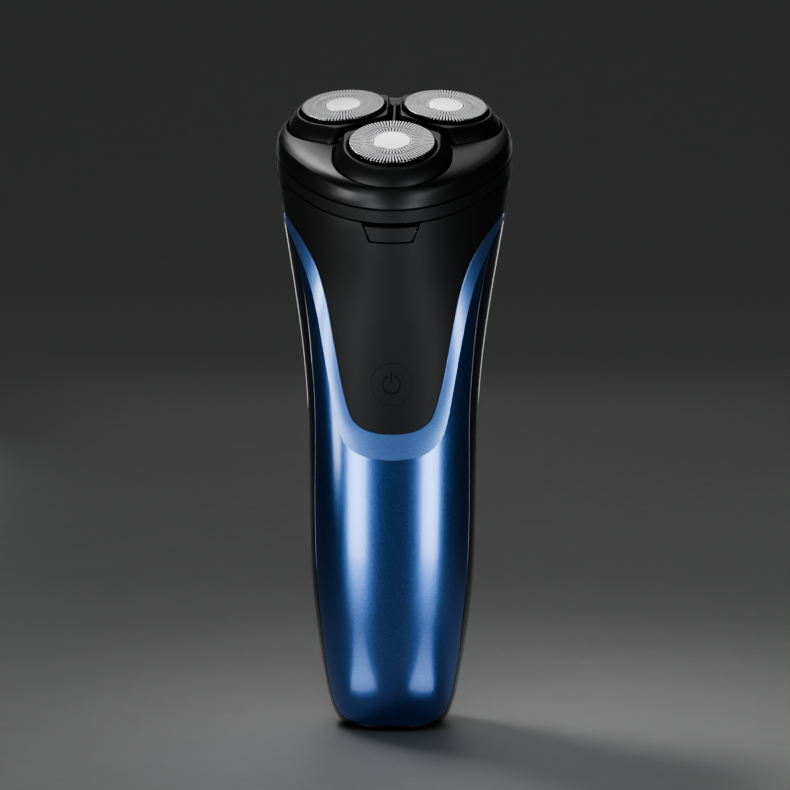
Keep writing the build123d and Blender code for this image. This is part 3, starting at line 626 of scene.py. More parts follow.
# ------------------------------------------------------------------ handle: shells, panel and buttons
part_line = np.vstack([[(-60.0, 1.5)], catmull(PARTING, 1.1), [(1.0, 172.0)]])
panel_line = np.vstack([[(-44.0, 150.0)], mirror_curve(PANEL_EDGE, 0.6), [(44.0, 150.0)]])
band_line = np.vstack([[(-43.0, 153.0)], mirror_curve(BAND_EDGE, 0.6), [(43.0, 153.0)]])
BIG = 50.0


def memo(fn):
    """the fields are asked for at the same points several times"""
    store = {}

    def wrapped(uv):
        k = (uv.shape, float(uv[0, 0]) if len(uv) else 0, float(uv[-1, 1]) if len(uv) else 0, float(uv.sum()))
        if k not in store:
            if len(store) > 12:
                store.clear()
            store[k] = fn(uv)
        return store[k].copy()
    return wrapped


@memo
def f_part(uv):
    p = body_surface(uv)
    return signed_distance(p[:, 1:3], part_line)


@memo
def d_panel(uv):
    p = body_surface(uv)
    d = signed_distance(p[:, [0, 2]], panel_line)
    return np.where(p[:, 1] > 12, -BIG, d)


@memo
def d_band(uv):
    p = body_surface(uv)
    d = signed_distance(p[:, [0, 2]], band_line)
    return np.where(p[:, 1] > 12, -BIG, d)


def f_top(uv):
    return HEAD_Z - uv[:, 1]


inlet = rounded([(-4.65, 0.75), (4.65, 0.75), (4.65, 4.25), (-4.65, 4.25)], 1.74, 10)


def f_inlet(uv):
    """positive outside the charging inlet"""
    p = body_surface(uv)
    d = -signed_distance(p[:, :2], inlet, True)
    return np.where(uv[:, 1] < 0.5, d, BIG)


def f_notch(uv):
    h = to_head(body_surface(uv))
    return np.where(np.abs(h[:, 0]) > 20, (np.abs(h[:, 1] + 0.4) + np.abs(h[:, 2]) - 1.06) * 0.7, BIG)


def f_tooth(uv):
    """positive outside the V-shaped seats at both ends of the opening line"""
    h = to_head(body_surface(uv))
    x = np.abs(np.abs(h[:, 0]) - 28.4)
    d = (x - 1.35 * (1 + h[:, 2] / 2.0)) * 0.82
    return np.where((h[:, 1] < 5) & (np.abs(h[:, 0]) > 20), d, BIG)


def trapezoid(th, bh, zt, zb, r):
    return rounded([(-th, zt), (-bh, zb), (bh, zb), (th, zt)], [0.05, r, r, 0.05], 8)


pocket_line = trapezoid(7.75, 5.6, 1.0, -5.12, 0.85)
button_line = trapezoid(6.95, 5.36, -0.75, -4.92, 0.75)


@memo
def d_pocket(uv):
    h = to_head(body_surface(uv))
    return np.where(h[:, 1] < -15, signed_distance(h[:, [0, 2]], pocket_line, True), -BIG)


@memo
def d_release(uv):
    h = to_head(body_surface(uv))
    return np.where(h[:, 1] < -15, signed_distance(h[:, [0, 2]], button_line, True), -BIG)


@memo
def d_power(uv):
    p = body_surface(uv)
    return np.where(p[:, 1] < 0, POWER_R - np.hypot(p[:, 0], p[:, 2] - POWER_Z), -BIG)


@memo
def d_icon(uv):
    """positive inside the stroke of the on-off sign"""
    p = body_surface(uv)
    x, z = p[:, 0], p[:, 2] - POWER_Z
    r = np.hypot(x, z)
    ring = 0.2 - np.abs(r - 2.25)
    gap = np.minimum(0.80 - np.abs(x), z)
    ring = np.minimum(ring, np.where(gap > 0, -gap, 0.2))
    bar = np.minimum(0.2 - np.abs(x), np.minimum(z - 0.6, 3.2 - z))
    return np.where(p[:, 1] < 0, np.maximum(ring, bar), -BIG)


def sink(uv):
    return T_SINK(np.maximum(uv[:, 1], 60.0))


step_v = 0.7
count_u = 320
vs = np.concatenate([np.arange(-12, -0.9, 1.0), [-0.5, -0.2, -0.08, 0, 0.08, 0.2, 0.45, 0.9, 1.4, 2.0, 2.9, 4.0],
                     np.linspace(5.2, HEAD_Z, int((HEAD_Z - 5.2) / step_v))])
us = np.linspace(-1.5 * pi, 0.5 * pi, count_u + 1)
# spacing across the front stays even: the shift towards the bevel and the buttons is scaled by zero
us = us + 0.16 * np.sin((us + 0.5 * pi) * 1.0) * 0.0


def body_patch():
    uv, tris = grid_uv(us, vs)
    return Patch(body_surface, uv, tris)


# rear shell with the base
P = body_patch()
P.keep(lambda q: -f_part(q), 0.03).keep(f_inlet, 0.0).keep(f_notch, 0.0).keep(f_top, 0.01)
P.levels(lambda q: -f_part(q), (0.08, 0.16, 0.28, 0.45)).levels(f_top, (0.06, 0.14, 0.25, 0.4)).levels(f_inlet, (0.1, 0.3))


def rear_depth(uv):
    return np.maximum(np.maximum(roll(-f_part(uv) - 0.03, 0.30), roll(f_top(uv) - 0.01, 0.22)), roll(f_inlet(uv), 0.3))


rv, rf, rn = P.build(rear_depth, WALL)
rear_parts = [(rv, rf, rn)]


def join(parts):
    v, f, n, off = [], [], [], 0
    for a, b, c in parts:
        v.append(a)
        f += [tuple(int(i) + off for i in q) for q in b]
        n.append(c)
        off += len(a)
    return np.vstack(v), f, np.vstack(n)


def flat_normals(v, f):
    """separate corner points for every face, with the face's own normal"""
    vo, fo, no = [], [], []
    for q in f:
        p = np.array([v[i] for i in q], float)
        n = np.zeros(3)
        for i in range(len(p)):
            a, b = p[i], p[(i + 1) % len(p)]
            n += np.cross(a, b)
        n /= max(np.linalg.norm(n), 1e-12)
        fo.append(tuple(range(len(vo), len(vo) + len(p))))
        vo += list(p)
        no += [n] * len(p)
    return np.array(vo), fo, np.array(no)


def smooth_normals(v, f, angle=35.0):
    """corner normals averaged over neighbouring faces that meet at less than the angle"""
    v = np.asarray(v, float)
    key = np.round(v * 1e4).astype(np.int64)
    _, same = np.unique(key, axis=0, return_inverse=True)
    same = same.ravel()
    fn = []
    for q in f:
        p = v[list(q)]
        n = np.cross(p, np.roll(p, -1, 0)).sum(0)
        fn.append(n)
    fn = np.array(fn)
    ln = np.maximum(np.linalg.norm(fn, axis=1, keepdims=True), 1e-12)
    un = fn / ln
    around = {}
    for k, q in enumerate(f):
        for i in q:
            around.setdefault(int(same[i]), []).append(k)
    c = cos(radians(angle))
    vo, fo, no = [], [], []
    seen = {}
    for k, q in enumerate(f):
        face = []
        for i in q:
            ks = [j for j in around[int(same[i])] if un[j] @ un[k] > c]
            n = fn[ks].sum(0)
            n /= max(np.linalg.norm(n), 1e-12)
            t = (int(same[i]),) + tuple(np.round(n * 500).astype(int))
            if t not in seen:
                seen[t] = len(vo)
                vo.append(v[i])
                no.append(n)
            face.append(seen[t])
        fo.append(tuple(face))
    return np.array(vo), fo, np.array(no)


def extrude_x(profile, x0, x1, edge=0.25, in_head=True):
    """closed profile (y, z) counter-clockwise seen from +x, run from x0 to x1 with rounded ends"""
    prof = np.asarray(profile, float)
    if len(prof) > 2:
        d = np.roll(prof, -1, 0) - np.roll(prof, 1, 0)
        nrm = np.stack([d[:, 1], -d[:, 0]], 1)
        nrm /= np.maximum(np.linalg.norm(nrm, axis=1, keepdims=True), 1e-9)
    rings = []
    for ang in (0, 30, 60, 90):
        rings.append((x0 + edge * (1 - sin(radians(ang))), edge * (1 - cos(radians(90 - ang)))))
    prof_rings = [(x0, edge)] + [(x0 + edge * (1 - cos(radians(a))), edge * (1 - sin(radians(a)))) for a in (30, 60, 90)]
    prof_rings += [(x1 - (x - x0), e) for x, e in reversed(prof_rings)]
    v, f = [], []
    n = len(prof)
    for x, e in prof_rings:
        for k in range(n):
            q = prof[k] - nrm[k] * e
            v.append((x, q[0], q[1]))
    for r in range(len(prof_rings) - 1):
        for k in range(n):
            a, b = r * n + k, r * n + (k + 1) % n
            f.append((a, b, b + n, a + n))
    f.append(tuple(range(n - 1, -1, -1)))
    f.append(tuple((len(prof_rings) - 1) * n + k for k in range(n)))
    v = np.array(v)
    if in_head:
        v = from_head(v)
    vo, fo, no = smooth_normals(v, f, 40)
    return vo, fo, no


# hinge ears on the back
def arc(cy, cz, r, a0, a1, n=14):
    return [(cy + r * cos(radians(a0 + (a1 - a0) * k / n)), cz + r * sin(radians(a0 + (a1 - a0) * k / n))) for k in range(n + 1)]


for sx in (-1, 1):
    lo, hi = sorted((sx * 4.87, sx * 8.58))
    ear = [(27.6, -8.0), (27.9, -8.0), (31.2, -3.2), (31.5, -2.2)] + arc(HINGE_Y, HINGE_Z, HINGE_R, -4, 184) + [(28.25, -0.9), (27.2, -1.6)]
    rear_parts.append(extrude_x(ear, lo, hi, 0.22))
mid = [(27.2, -8.0), (27.9, -8.0), (30.9, -3.6), (31.0, -3.0), (30.6, -2.2), (29.0, -1.1), (27.2, -1.2)]
rear_parts.append(extrude_x(mid, -5.0, 5.0, 0.05))
v, f, n = join(rear_parts)
place(make_object("shell_rear", v, f, M["gloss_black"], n), "handle", "rear_shell")

# front shell: smooth blue body with the sloping bevel around the panel, whose lighter blue is a painted highlight
P = body_patch()
P.keep(f_part, 0.03).keep(lambda q: -d_panel(q), 0.0).keep(f_top, 0.01)
P.levels(f_part, (0.08, 0.16, 0.28, 0.45)).levels(lambda q: -d_panel(q), (0.05, 0.12, 0.22))
P.levels(d_band, (-0.22, -0.08, 0.0, 0.08, 0.22)).levels(f_top, (0.06, 0.14, 0.25))


def bevel_depth(uv):
    a, b = np.maximum(-d_panel(uv), 0), np.maximum(d_band(uv), 0)
    w = b / np.maximum(a + b, 1e-6)
    return sink(uv) * w * (0.92 + 0.08 * w)


def front_depth(uv):
    e = np.maximum(roll(f_part(uv) - 0.03, 0.30), roll(f_top(uv) - 0.01, 0.22))
    e = np.maximum(e, roll(-d_panel(uv), 0.14))
    return bevel_depth(uv) + e


tri_mid = P.uv[P.tris].mean(1)
on_bevel = d_band(tri_mid) > 0
whole = P.tris
for tag, mask, mat in (("body", ~on_bevel, "blue_shell"), ("bevel", on_bevel, "bevel_painted_highlight")):
    pass
v, f, n = P.build(front_depth, lambda q: WALL + 0.4 * sink(q))
shell = make_object("shell_front", v, f, M["blue_shell"], n)
# second slot: the bevel's painted highlight
shell.data.materials.append(M["bevel_painted_highlight"])
pc = np.zeros(len(shell.data.polygons) * 3)
shell.data.polygons.foreach_get("center", pc)
pc = pc.reshape(-1, 3) * 1000 - np.array([0, Y_SHIFT, 0])
bevel_highlight_faces = signed_distance(pc[:, [0, 2]], band_line) > 0.02
# only the outer skin takes the bevel colour, a lighter blue painted as the highlight the sloping band catches
shell.data.polygons.foreach_set("material_index", np.where(bevel_highlight_faces & (pc[:, 1] < 0), 1, 0).astype(np.int32))
place(shell, "handle", "front_shell")

# front panel
P = body_patch()
P.keep(f_part, 0.03).keep(d_panel, 0.03).keep(f_top, 0.01).keep(lambda q: -d_pocket(q), 0.0).keep(lambda q: -d_power(q), 0.03).keep(f_tooth, 0.0)
P.levels(f_part, (0.08, 0.16, 0.28)).levels(d_panel, (0.1, 0.2, 0.32)).levels(f_top, (0.06, 0.14, 0.25, 0.4))
P.levels(lambda q: -d_pocket(q), (0.05, 0.12, 0.22)).levels(lambda q: -d_power(q), (0.06, 0.1)).levels(f_tooth, (0.06, 0.14, 0.22))


def panel_depth(uv):
    e = np.maximum(roll(f_part(uv) - 0.03, 0.25), roll(f_top(uv) - 0.01, 0.25))
    e = np.maximum(e, roll(d_panel(uv) - 0.03, 0.22))
    e = np.maximum(e, np.maximum(roll(-d_pocket(uv), 0.16), roll(-d_power(uv) - 0.03, 0.05)))
    e = np.maximum(e, roll(f_tooth(uv), 0.2))
    return sink(uv) + e


def panel_walls(uv):
    """walls thin out at the two keys, which leaves them room to travel"""
    near = np.minimum(np.maximum(d_power(uv), 0.0), np.maximum(d_pocket(uv), 0.0))
    return sink(uv) + np.minimum(PANEL_T, 0.16 + 2.0 * near)


v, f, n = P.build(panel_depth, panel_walls)
place(make_object("panel_front", v, f, M["soft_black"], n), "handle", "front_panel")


# power button with its engraved sign
def key_patch(x0, x1, z0, z1, nu, nv):
    """finer grid over a window of the front"""
    lo, hi = -0.5 * pi - 0.6, -0.5 * pi + 0.6
    uv, tris = grid_uv(np.linspace(lo, hi, nu), np.linspace(z0, z1, nv))
    return Patch(body_surface, uv, tris)


P = key_patch(-7, 7, 84, 106, 150, 150)
P.keep(d_power, 0.0).levels(d_power, (0.04, 0.1)).levels(d_icon, (-0.03, 0.0, 0.04, 0.08))


def power_depth(uv):
    groove = 0.16 * smooth((d_icon(uv) + 0.03) / 0.09)
    return sink(uv) + roll(d_power(uv), 0.05) + groove


v, f, n = P.build(power_depth, lambda q: sink(q) + 2.2, eps=(0.0003, 0.01))
button = make_object("power_key_cap", v, f, M["soft_black"], n)
button.data.materials.append(M["sign_black"])
nf = len(button.data.polygons)
pc = np.zeros(nf * 3)
button.data.polygons.foreach_get("center", pc)
pc = pc.reshape(-1, 3) * 1000 - np.array([0, Y_SHIFT, 0])
x, z = pc[:, 0], pc[:, 2] - POWER_Z
r = np.hypot(x, z)
ringd = np.where((np.minimum(0.80 - np.abs(x), z)) > 0, -1, 0.2 - np.abs(r - 2.25))
bard = np.minimum(0.2 - np.abs(x), np.minimum(z - 0.6, 3.2 - z))
front_y = pc[:, 1] < -15.0
button.data.polygons.foreach_set("material_index", np.where((np.maximum(ringd, bard) > 0.03) & front_y, 1, 0).astype(np.int32))
place(button, "power_key", "power_button")

# release button
P = key_patch(-9, 9, 126, 146, 170, 120)
P.keep(d_release, 0.0).levels(d_release, (0.06, 0.14, 0.26, 0.42))
v, f, n = P.build(lambda q: sink(q) - 0.02 + roll(d_release(q), 0.34), lambda q: sink(q) + 1.1, eps=(0.0003, 0.01))
tongue = extrude_x([(-29.3, -3.62), (-27.15, -3.62), (-27.15, -2.0), (-29.3, -2.0)], -3.35, 3.35, 0.1)
v, f, n = join([(v, f, n), tongue])
place(make_object("release_key_cap", v, f, M["soft_black"], n), "release_key", "release_button")


# ------------------------------------------------------------------ head: ring and cover
def outline(th):
    x, y = section(th, np.full_like(th, HEAD_Z))
    return x, y


def ring_surface(uv):
    x, y = outline(uv[:, 0])
    return from_head(np.stack([x, y, uv[:, 1]], 1))


RING_Z0, RING_Z1 = 0.15, 3.70
lv = [RING_Z0, 0.21, 0.3, 0.42, 0.6, 1.2, 1.9, 2.6, 3.2, 3.4, 3.5, 3.6, 3.66, RING_Z1]
uv, tris = grid_uv(us, np.array(lv))
P = Patch(ring_surface, uv, tris)


def ring_depth(uv):
    return np.maximum(roll(uv[:, 1] - RING_Z0, 0.25), roll(RING_Z1 - uv[:, 1], 0.32))


parts = [P.build(ring_depth, 1.8)]
knuckle = [(27.0, 1.5), (29.9, 1.3)] + arc(HINGE_Y, HINGE_Z, HINGE_R, -90, 120) + [(27.0, 3.66)]
parts.append(extrude_x(knuckle, -4.53, 4.53, 0.2))
# catch and the three screw posts inside
parts.append(extrude_x([(-30.2, 0.35), (-26.85, 0.35), (-26.85, 1.3), (-30.2, 1.3)], -2.8, 2.8, 0.1))
parts.append(extrude_x([(-27.8, -1.5), (-26.8, -1.5), (-26.8, 1.0), (-27.8, 1.0)], -2.8, 2.8, 0.1))


def lathe(profile, seg=48, centre=(0.0, 0.0), angle=35.0, place_fn=from_head):
    """turned shape from (radius, height) pairs, running up the outside"""
    v, f = [], []
    rows = []
    for r, z in profile:
        if r < 1e-6:
            rows.append([len(v)])
            v.append((centre[0], centre[1], z))
        else:
            rows.append(list(range(len(v), len(v) + seg)))
            for k in range(seg):
                t = 2 * pi * k / seg
                v.append((centre[0] + r * cos(t), centre[1] + r * sin(t), z))
    for a, b in zip(rows, rows[1:]):
        for k in range(seg):
            k2 = (k + 1) % seg
            if len(a) == 1:
                f.append((a[0], b[k2], b[k]))
            elif len(b) == 1:
                f.append((a[k], a[k2], b[0]))
            else:
                f.append((a[k], a[k2], b[k2], b[k]))
    v = place_fn(np.array(v))
    return smooth_normals(v, f, angle)


for deg in (-30.0, 90.0, 210.0):
    c = (23.0 * cos(radians(deg)), 23.0 * sin(radians(deg)))
    parts.append(lathe([(0.9, 3.0), (0.9, 1.5), (2.2, 1.5), (2.35, 1.65), (2.35, 3.68), (0, 3.68)], 32, c))
for sx in (-1, 1):
    mid_th = -0.25 * sx if sx > 0 else -pi + 0.25
    tuv, ttris = grid_uv(np.linspace(mid_th - 0.35, mid_th + 0.35, 120), np.linspace(HEAD_Z - 3.0, HEAD_Z + 0.35, 40))
    T = Patch(body_surface, tuv, ttris)
    T.keep(lambda q: -f_tooth(q), 0.12).levels(lambda q: -f_tooth(q), (0.18, 0.26, 0.36))
    parts.append(T.build(lambda q: roll(-f_tooth(q) - 0.12, 0.22), 1.6, eps=(0.0003, 0.01)))
v, f, n = join(parts)
place(make_object("ring_neck", v, f, M["soft_black"], n), "head", "neck_ring")


# cover: upright wall, crisp facet line, then hollow slopes up to the pods
def profile_pair(z_f, i_f, top, crease):
    """profile as (inset, height) sampled at fixed parameters"""
    pts = [(0.30, 3.80), (0.0, 4.10), (0.02, 5.4), (i_f, z_f)] + top
    line = []
    for k, p in enumerate(pts):
        p = np.array(p, float)
        if k in (0, len(pts) - 1):
            line.append([p])
            continue
        a, b = np.array(pts[k - 1], float), np.array(pts[k + 1], float)
        u, w = (a - p), (b - p)
        lu, lw = np.linalg.norm(u), np.linalg.norm(w)
        t = min(crease if k == 3 else (0.16 if k == 1 else 0.5 * min(lu, lw)), 0.45 * lu, 0.45 * lw)
        p0, p1 = p + u / lu * t, p + w / lw * t
        line.append([p0 * (1 - s) ** 2 + 2 * p * s * (1 - s) + p1 * s * s for s in np.linspace(0, 1, 7)])
    return line


TOP_LOBE = [(1.0, 8.75), (1.7, 9.45), (3.4, 10.05), (6.5, 10.5), (14.0, 10.7), (31.0, 10.8)]
TOP_FLAT = [(2.2, 9.62), (4.2, 10.22), (6.8, 10.72), (9.6, 11.05), (13.0, 11.25), (31.0, 11.3)]
LOBE = profile_pair(7.1, 0.28, TOP_LOBE, 0.75)
FLAT = profile_pair(8.85, 0.75, TOP_FLAT, 0.14)
A, B = [], []
for la, lb in zip(LOBE, FLAT):
    A += la
    B += lb
A, B = np.array(A), np.array(B)
# parameter by mean arc length
seg = 0.5 * (np.linalg.norm(np.diff(A, axis=0), axis=1) + np.linalg.norm(np.diff(B, axis=0), axis=1))
Q = np.concatenate([[0], np.cumsum(seg)])


def flatness(th):
    w = 0.5 * (1 - np.cos(3 * (th + pi / 2)))
    return w * w * (3 - 2 * w)


def cover_surface(uv):
    th, q = uv[:, 0], uv[:, 1]
    w = flatness(th)
    ins = np.interp(q, Q, A[:, 0]) * (1 - w) + np.interp(q, Q, B[:, 0]) * w
    z = np.interp(q, Q, A[:, 1]) * (1 - w) + np.interp(q, Q, B[:, 1]) * w
    x, y = outline(th)
    r = np.hypot(x, y)
    k = np.maximum(r - ins, 0.0) / r
    return from_head(np.stack([x * k, y * k, z], 1))


def petal_line(half, split, r):
    """outline of a pod, as radius over angle around its axis"""
    poly, rad = [], []
    for k in range(0, 37):
        a = radians(-90 + 5 * k)
        poly.append((half * cos(a), half * sin(a)))
        rad.append(0.0)
    n1 = np.array([cos(radians(150)), sin(radians(150))])
    # straight side at y = half meets the plane n1.p = split
    xs = (split - half * n1[1]) / n1[0]
    tip = split / cos(radians(30))
    poly += [(xs, half), (-tip, 0.0), (xs, -half)]
    rad += [r, r, r]
    line = rounded(poly, rad, 12)
    dense = []
    for i in range(len(line)):
        a, b = line[i], line[(i + 1) % len(line)]
        m = max(1, int(np.linalg.norm(b - a) / 0.15))
        for k in range(m):
            dense.append(a + (b - a) * k / m)
    dense = np.array(dense)
    ang = np.arctan2(dense[:, 1], dense[:, 0])
    o = np.argsort(ang)
    return ang[o], np.hypot(dense[:, 0], dense[:, 1])[o]


def petal_radius(ph, half, split, r=2.2):
    a, rr = petal_line(half, split, r)
    a = np.concatenate([a - 2 * pi, a, a + 2 * pi])
    return np.interp((ph + pi) % (2 * pi) - pi, a, np.concatenate([rr, rr, rr]))


WELL = petal_line(POD_W + WELL_GAP, POD_SPLIT + WELL_GAP, 2.6)


def d_well(uv):
    """distance outside the nearest well, in the pod's own plane"""
    h = to_head(cover_surface(uv))
    best = np.full(len(h), BIG)
    a, rr = WELL
    a3, r3 = np.concatenate([a - 2 * pi, a, a + 2 * pi]), np.concatenate([rr, rr, rr])
    for side in DIRS:
        q = head_to_pod(h, side)
        ang = np.arctan2(q[:, 1], q[:, 0])
        rad = np.hypot(q[:, 0], q[:, 1])
        edge = np.interp(ang, a3, r3)
        best = np.minimum(best, (rad - edge) * np.where(rad < 0.5, 1, 1))
    return np.where(h[:, 2] < 4.9, BIG, best)


qs = np.concatenate([Q[Q < 12], np.arange(Q[Q < 12][-1] + 0.6, Q[-1] - 2.0, 0.7)])
fill = []
for a, b in zip(qs, qs[1:]):
    m = max(1, int((b - a) / 0.6))
    fill += [a + (b - a) * k / m for k in range(m)]
qs = np.array(fill + [qs[-1]])
uv, tris = grid_uv(us, qs)
P = Patch(cover_surface, uv, tris)
P.keep(d_well, 0.0).levels(d_well, (0.06, 0.14, 0.28, 0.5))


def cover_depth(uv):
    return roll(d_well(uv), 0.22)


parts = [P.build(cover_depth, 1.7, sign=1.0)]
# ribs of the Y between the pods
for deg in (-30.0, 90.0, 210.0):
    t = radians(deg)
    ex, ey = np.array([cos(t), sin(t)]), np.array([-sin(t), cos(t)])
    rows = []
    for d in np.concatenate([np.arange(0, 15.6, 1.3), [15.9, 16.5, 16.8]]):
        top = 13.15 - 0.10 * max(0, d - 12) if d < 15.7 else 13.15 - 0.4 - (d - 15.7) * 1.6
        sec = []
        for y, z in ((0.66, 6.5), (0.60, 9.0), (0.47, top - 0.30), (0.40, top - 0.12), (0.24, top - 0.02), (0, top),
                     (-0.24, top - 0.02), (-0.40, top - 0.12), (-0.47, top - 0.30), (-0.60, 9.0), (-0.66, 6.5)):
            p = ex * d + ey * y
            sec.append((p[0], p[1], z))
        rows.append(sec)
    m = len(rows[0])
    v = from_head(np.array([p for s in rows for p in s]))
    f = [(i * m + j, (i + 1) * m + j, (i + 1) * m + (j + 1) % m, i * m + (j + 1) % m) for i in range(len(rows) - 1) for j in range(m)]
    f.append(tuple((len(rows) - 1) * m + j for j in range(m)))
    f.append(tuple(range(m - 1, -1, -1)))
    parts.append(smooth_normals(v, f, 40))
parts.append(lathe([(1.62, 4.0), (3.3, 4.0), (3.4, 4.2), (3.4, 7.45), (0.0, 7.45)], 40))
v, f, n = join(parts)
place(make_object("cover_head", v, f, M["satin_black"], n), "head", "head_cover")


# ------------------------------------------------------------------ pods, cutters and caps
def in_pod(side):
    return lambda p: from_head(pod_to_head(p, side))


def pod_mesh(side):
    m = 240
    ph = np.linspace(-pi, pi, m, endpoint=False)
    rows = []

    def petal_row(half, split, z, r=2.2, pull=0.0):
        rows.append((petal_radius(ph, half, split, r) - pull, np.full(m, z)))

    def circle_row(r, z):
        rows.append((np.full(m, r), np.full(m, z)))

    circle_row(9.6, -1.9)
    petal_row(POD_W, POD_SPLIT, -1.9, pull=0.25)
    petal_row(POD_W, POD_SPLIT, -1.8, pull=0.08)
    petal_row(POD_W, POD_SPLIT, -1.6)
    petal_row(POD_W, POD_SPLIT, -0.6)
    petal_row(POD_W, POD_SPLIT, 0.0)
    for t in (0.08, 0.18, 0.3, 0.42, 0.55, 0.68, 0.8, 0.9, 1.0):
        z = 0.2 + 3.72 * t
        half = POD_W + (POD_TOP_W - POD_W) * t + 0.30 * sin(pi * t)
        petal_row(half, POD_SPLIT - 0.25 * t, z)
    for a in (20, 45, 68, 90):
        petal_row(POD_TOP_W, POD_SPLIT - 0.25, 3.92 + 0.38 * sin(radians(a)), pull=0.38 * (1 - cos(radians(a))))
    r_in = petal_radius(ph, POD_TOP_W, POD_SPLIT - 0.25) - 0.38
    rows.append((r_in * 0.5 + 11.62 * 0.5, np.full(m, 4.30)))
    for a in (0, 30, 60, 90):
        circle_row(11.35 + 0.22 * (1 - sin(radians(a))), 4.08 + 0.22 * cos(radians(a)))
    circle_row(11.35, 2.0)
    circle_row(11.35, -1.0)
    circle_row(9.6, -1.0)
    circle_row(9.6, -1.9)
    v = np.array([(r[k] * cos(ph[k]), r[k] * sin(ph[k]), z[k]) for r, z in rows for k in range(m)])
    f = [(i * m + k, i * m + (k + 1) % m, (i + 1) * m + (k + 1) % m, (i + 1) * m + k) for i in range(len(rows) - 1) for k in range(m)]
    v = in_pod(side)(v)
    return smooth_normals(v, f, 42)


def cutter_mesh(side):
    top = [(4.70, 5.15), (4.70, 5.34), (4.76, 5.40), (4.95, 5.40), (5.5, 5.40), (6.1, 5.40), (6.62, 5.40), (6.84, 5.40), (6.92, 5.34),
           (7.30, 5.34), (7.38, 5.40), (7.75, 5.40), (7.95, 5.40), (8.8, 5.40), (9.6, 5.40), (10.3, 5.40), (10.5, 5.395), (10.66, 5.34),
           (10.76, 5.24), (10.80, 5.12), (10.80, 4.78), (10.80, 4.52), (10.74, 4.45), (10.62, 4.42), (10.60, 4.30), (10.60, 1.05)]
    seg = 720
    n = len(top)
    depth = 0.22
    inner_slots = (3, 6)     # from 4.95 to 6.62
    outer_slots = (12, 20)   # from 7.95 over the rim
    v = []
    ang = np.arange(seg) * 2 * pi / seg
    c, s = np.cos(ang), np.sin(ang)
    tops, lows = [], []
    P2 = np.array(top)
    d = np.gradient(P2, axis=0)
    nn = np.stack([-d[:, 1], d[:, 0]], 1)
    nn /= np.maximum(np.linalg.norm(nn, axis=1, keepdims=True), 1e-9)
    low = P2 - nn * depth
    low[:, 1] = np.where(P2[:, 0] < 10.55, P2[:, 1] - depth, low[:, 1])
    low[:, 0] = np.where(P2[:, 0] < 10.55, P2[:, 0], low[:, 0])
    low[-6:, 0] = 10.5
    low[:, 0] = np.minimum(low[:, 0], 10.52)
    for k in range(n):
        v.append(np.stack([P2[k, 0] * c, P2[k, 0] * s, np.full(seg, P2[k, 1])], 1))
    for k in range(n):
        v.append(np.stack([low[k, 0] * c, low[k, 0] * s, np.full(seg, low[k, 1])], 1))
    v = np.vstack(v)
    off = n * seg
    f = []

    def solid_cell(i, j):
        if inner_slots[0] <= i < inner_slots[1]:
            return not (j % 15) < 8
        if outer_slots[0] <= i < outer_slots[1]:
            return not (j % 9) < 5
        return True

    for i in range(n - 1):
        for j in range(seg):
            if not solid_cell(i, j):
                continue
            j2 = (j + 1) % seg
            a, b, cc, dd = i * seg + j, i * seg + j2, (i + 1) * seg + j2, (i + 1) * seg + j
            f.append((a, dd, cc, b))
            f.append((a + off, b + off, cc + off, dd + off))
            if not solid_cell(i, (j + 1) % seg):
                f.append((b, cc, cc + off, b + off))
            if not solid_cell(i, (j - 1) % seg):
                f.append((dd, a, a + off, dd + off))
            if i > 0 and not solid_cell(i - 1, j):
                f.append((a, b, b + off, a + off))
            if i < n - 2 and not solid_cell(i + 1, j):
                f.append((cc, dd, dd + off, cc + off))
    for j in range(seg):
        j2 = (j + 1) % seg
        a, b = j, j2
        f.append((a + off, a, b, b + off))
        a, b = (n - 1) * seg + j, (n - 1) * seg + j2
        f.append((a, a + off, b + off, b))
    v = in_pod(side)(v)
    body = smooth_normals(v, f, 38)
    flange = lathe([(10.05, 0.3), (10.95, 0.3), (11.05, 0.4), (11.05, 0.9), (10.95, 1.0), (10.58, 1.0), (10.05, 1.0), (10.05, 0.3)], 96, place_fn=in_pod(side))
    return join([body, flange])


for side in DIRS:
    v, f, n = pod_mesh(side)
    place(make_object("pod_cap_" + side, v, f, M["pod_black"], n), "pod_unit_" + side, "pod_" + side)
    v, f, n = cutter_mesh(side)
    foil = make_object("foil_" + side, v, f, M["cutter_steel"], n)
    foil.data.materials.append(M["slot_painted_shade"])
    # faces turned away from the cutting surface, the slot walls and the skirt get painted shade, a dark steel standing
    # in for the shadow inside the foil
    count = len(foil.data.polygons)
    centre, face_n = np.zeros(count * 3), np.zeros(count * 3)
    foil.data.polygons.foreach_get("center", centre)
    foil.data.polygons.foreach_get("normal", face_n)
    local = head_to_pod(to_head(centre.reshape(-1, 3) * 1000 - np.array([0, Y_SHIFT, 0])), side)
    axis = from_head(pod_frame(side)[1][2][None])[0] - from_head(np.zeros((1, 3)))[0]
    up_part = face_n.reshape(-1, 3) @ axis
    unshaded_faces = (up_part > 0.2) & (local[:, 2] > 5.0)
    unshaded_faces |= (np.hypot(local[:, 0], local[:, 1]) > 10.5) & (local[:, 2] > 5.14) & (up_part > 0.02)
    flat_r = np.hypot(local[:, 0], local[:, 1])
    index = np.where(unshaded_faces, 0, 1)
    index[unshaded_faces & (flat_r > 6.6) & (flat_r < 7.97)] = 2
    foil.data.materials.append(M["ring_steel"])
    foil.data.polygons.foreach_set("material_index", index.astype(np.int32))
    place(foil, "cutter_unit_" + side, "outer_cutter_" + side)
    v, f, n = lathe([(0, 5.15), (4.6, 5.15), (4.6, 5.33), (4.57, 5.42), (4.48, 5.475), (4.3, 5.49), (3.6, 5.495), (2.6, 5.505), (1.3, 5.512), (0, 5.515)],
                    120, angle=50, place_fn=in_pod(side))
    place(make_object("cap_disc_" + side, v, f, M["cap_steel"], n), "cutter_unit_" + side, "cutter_cap_" + side)

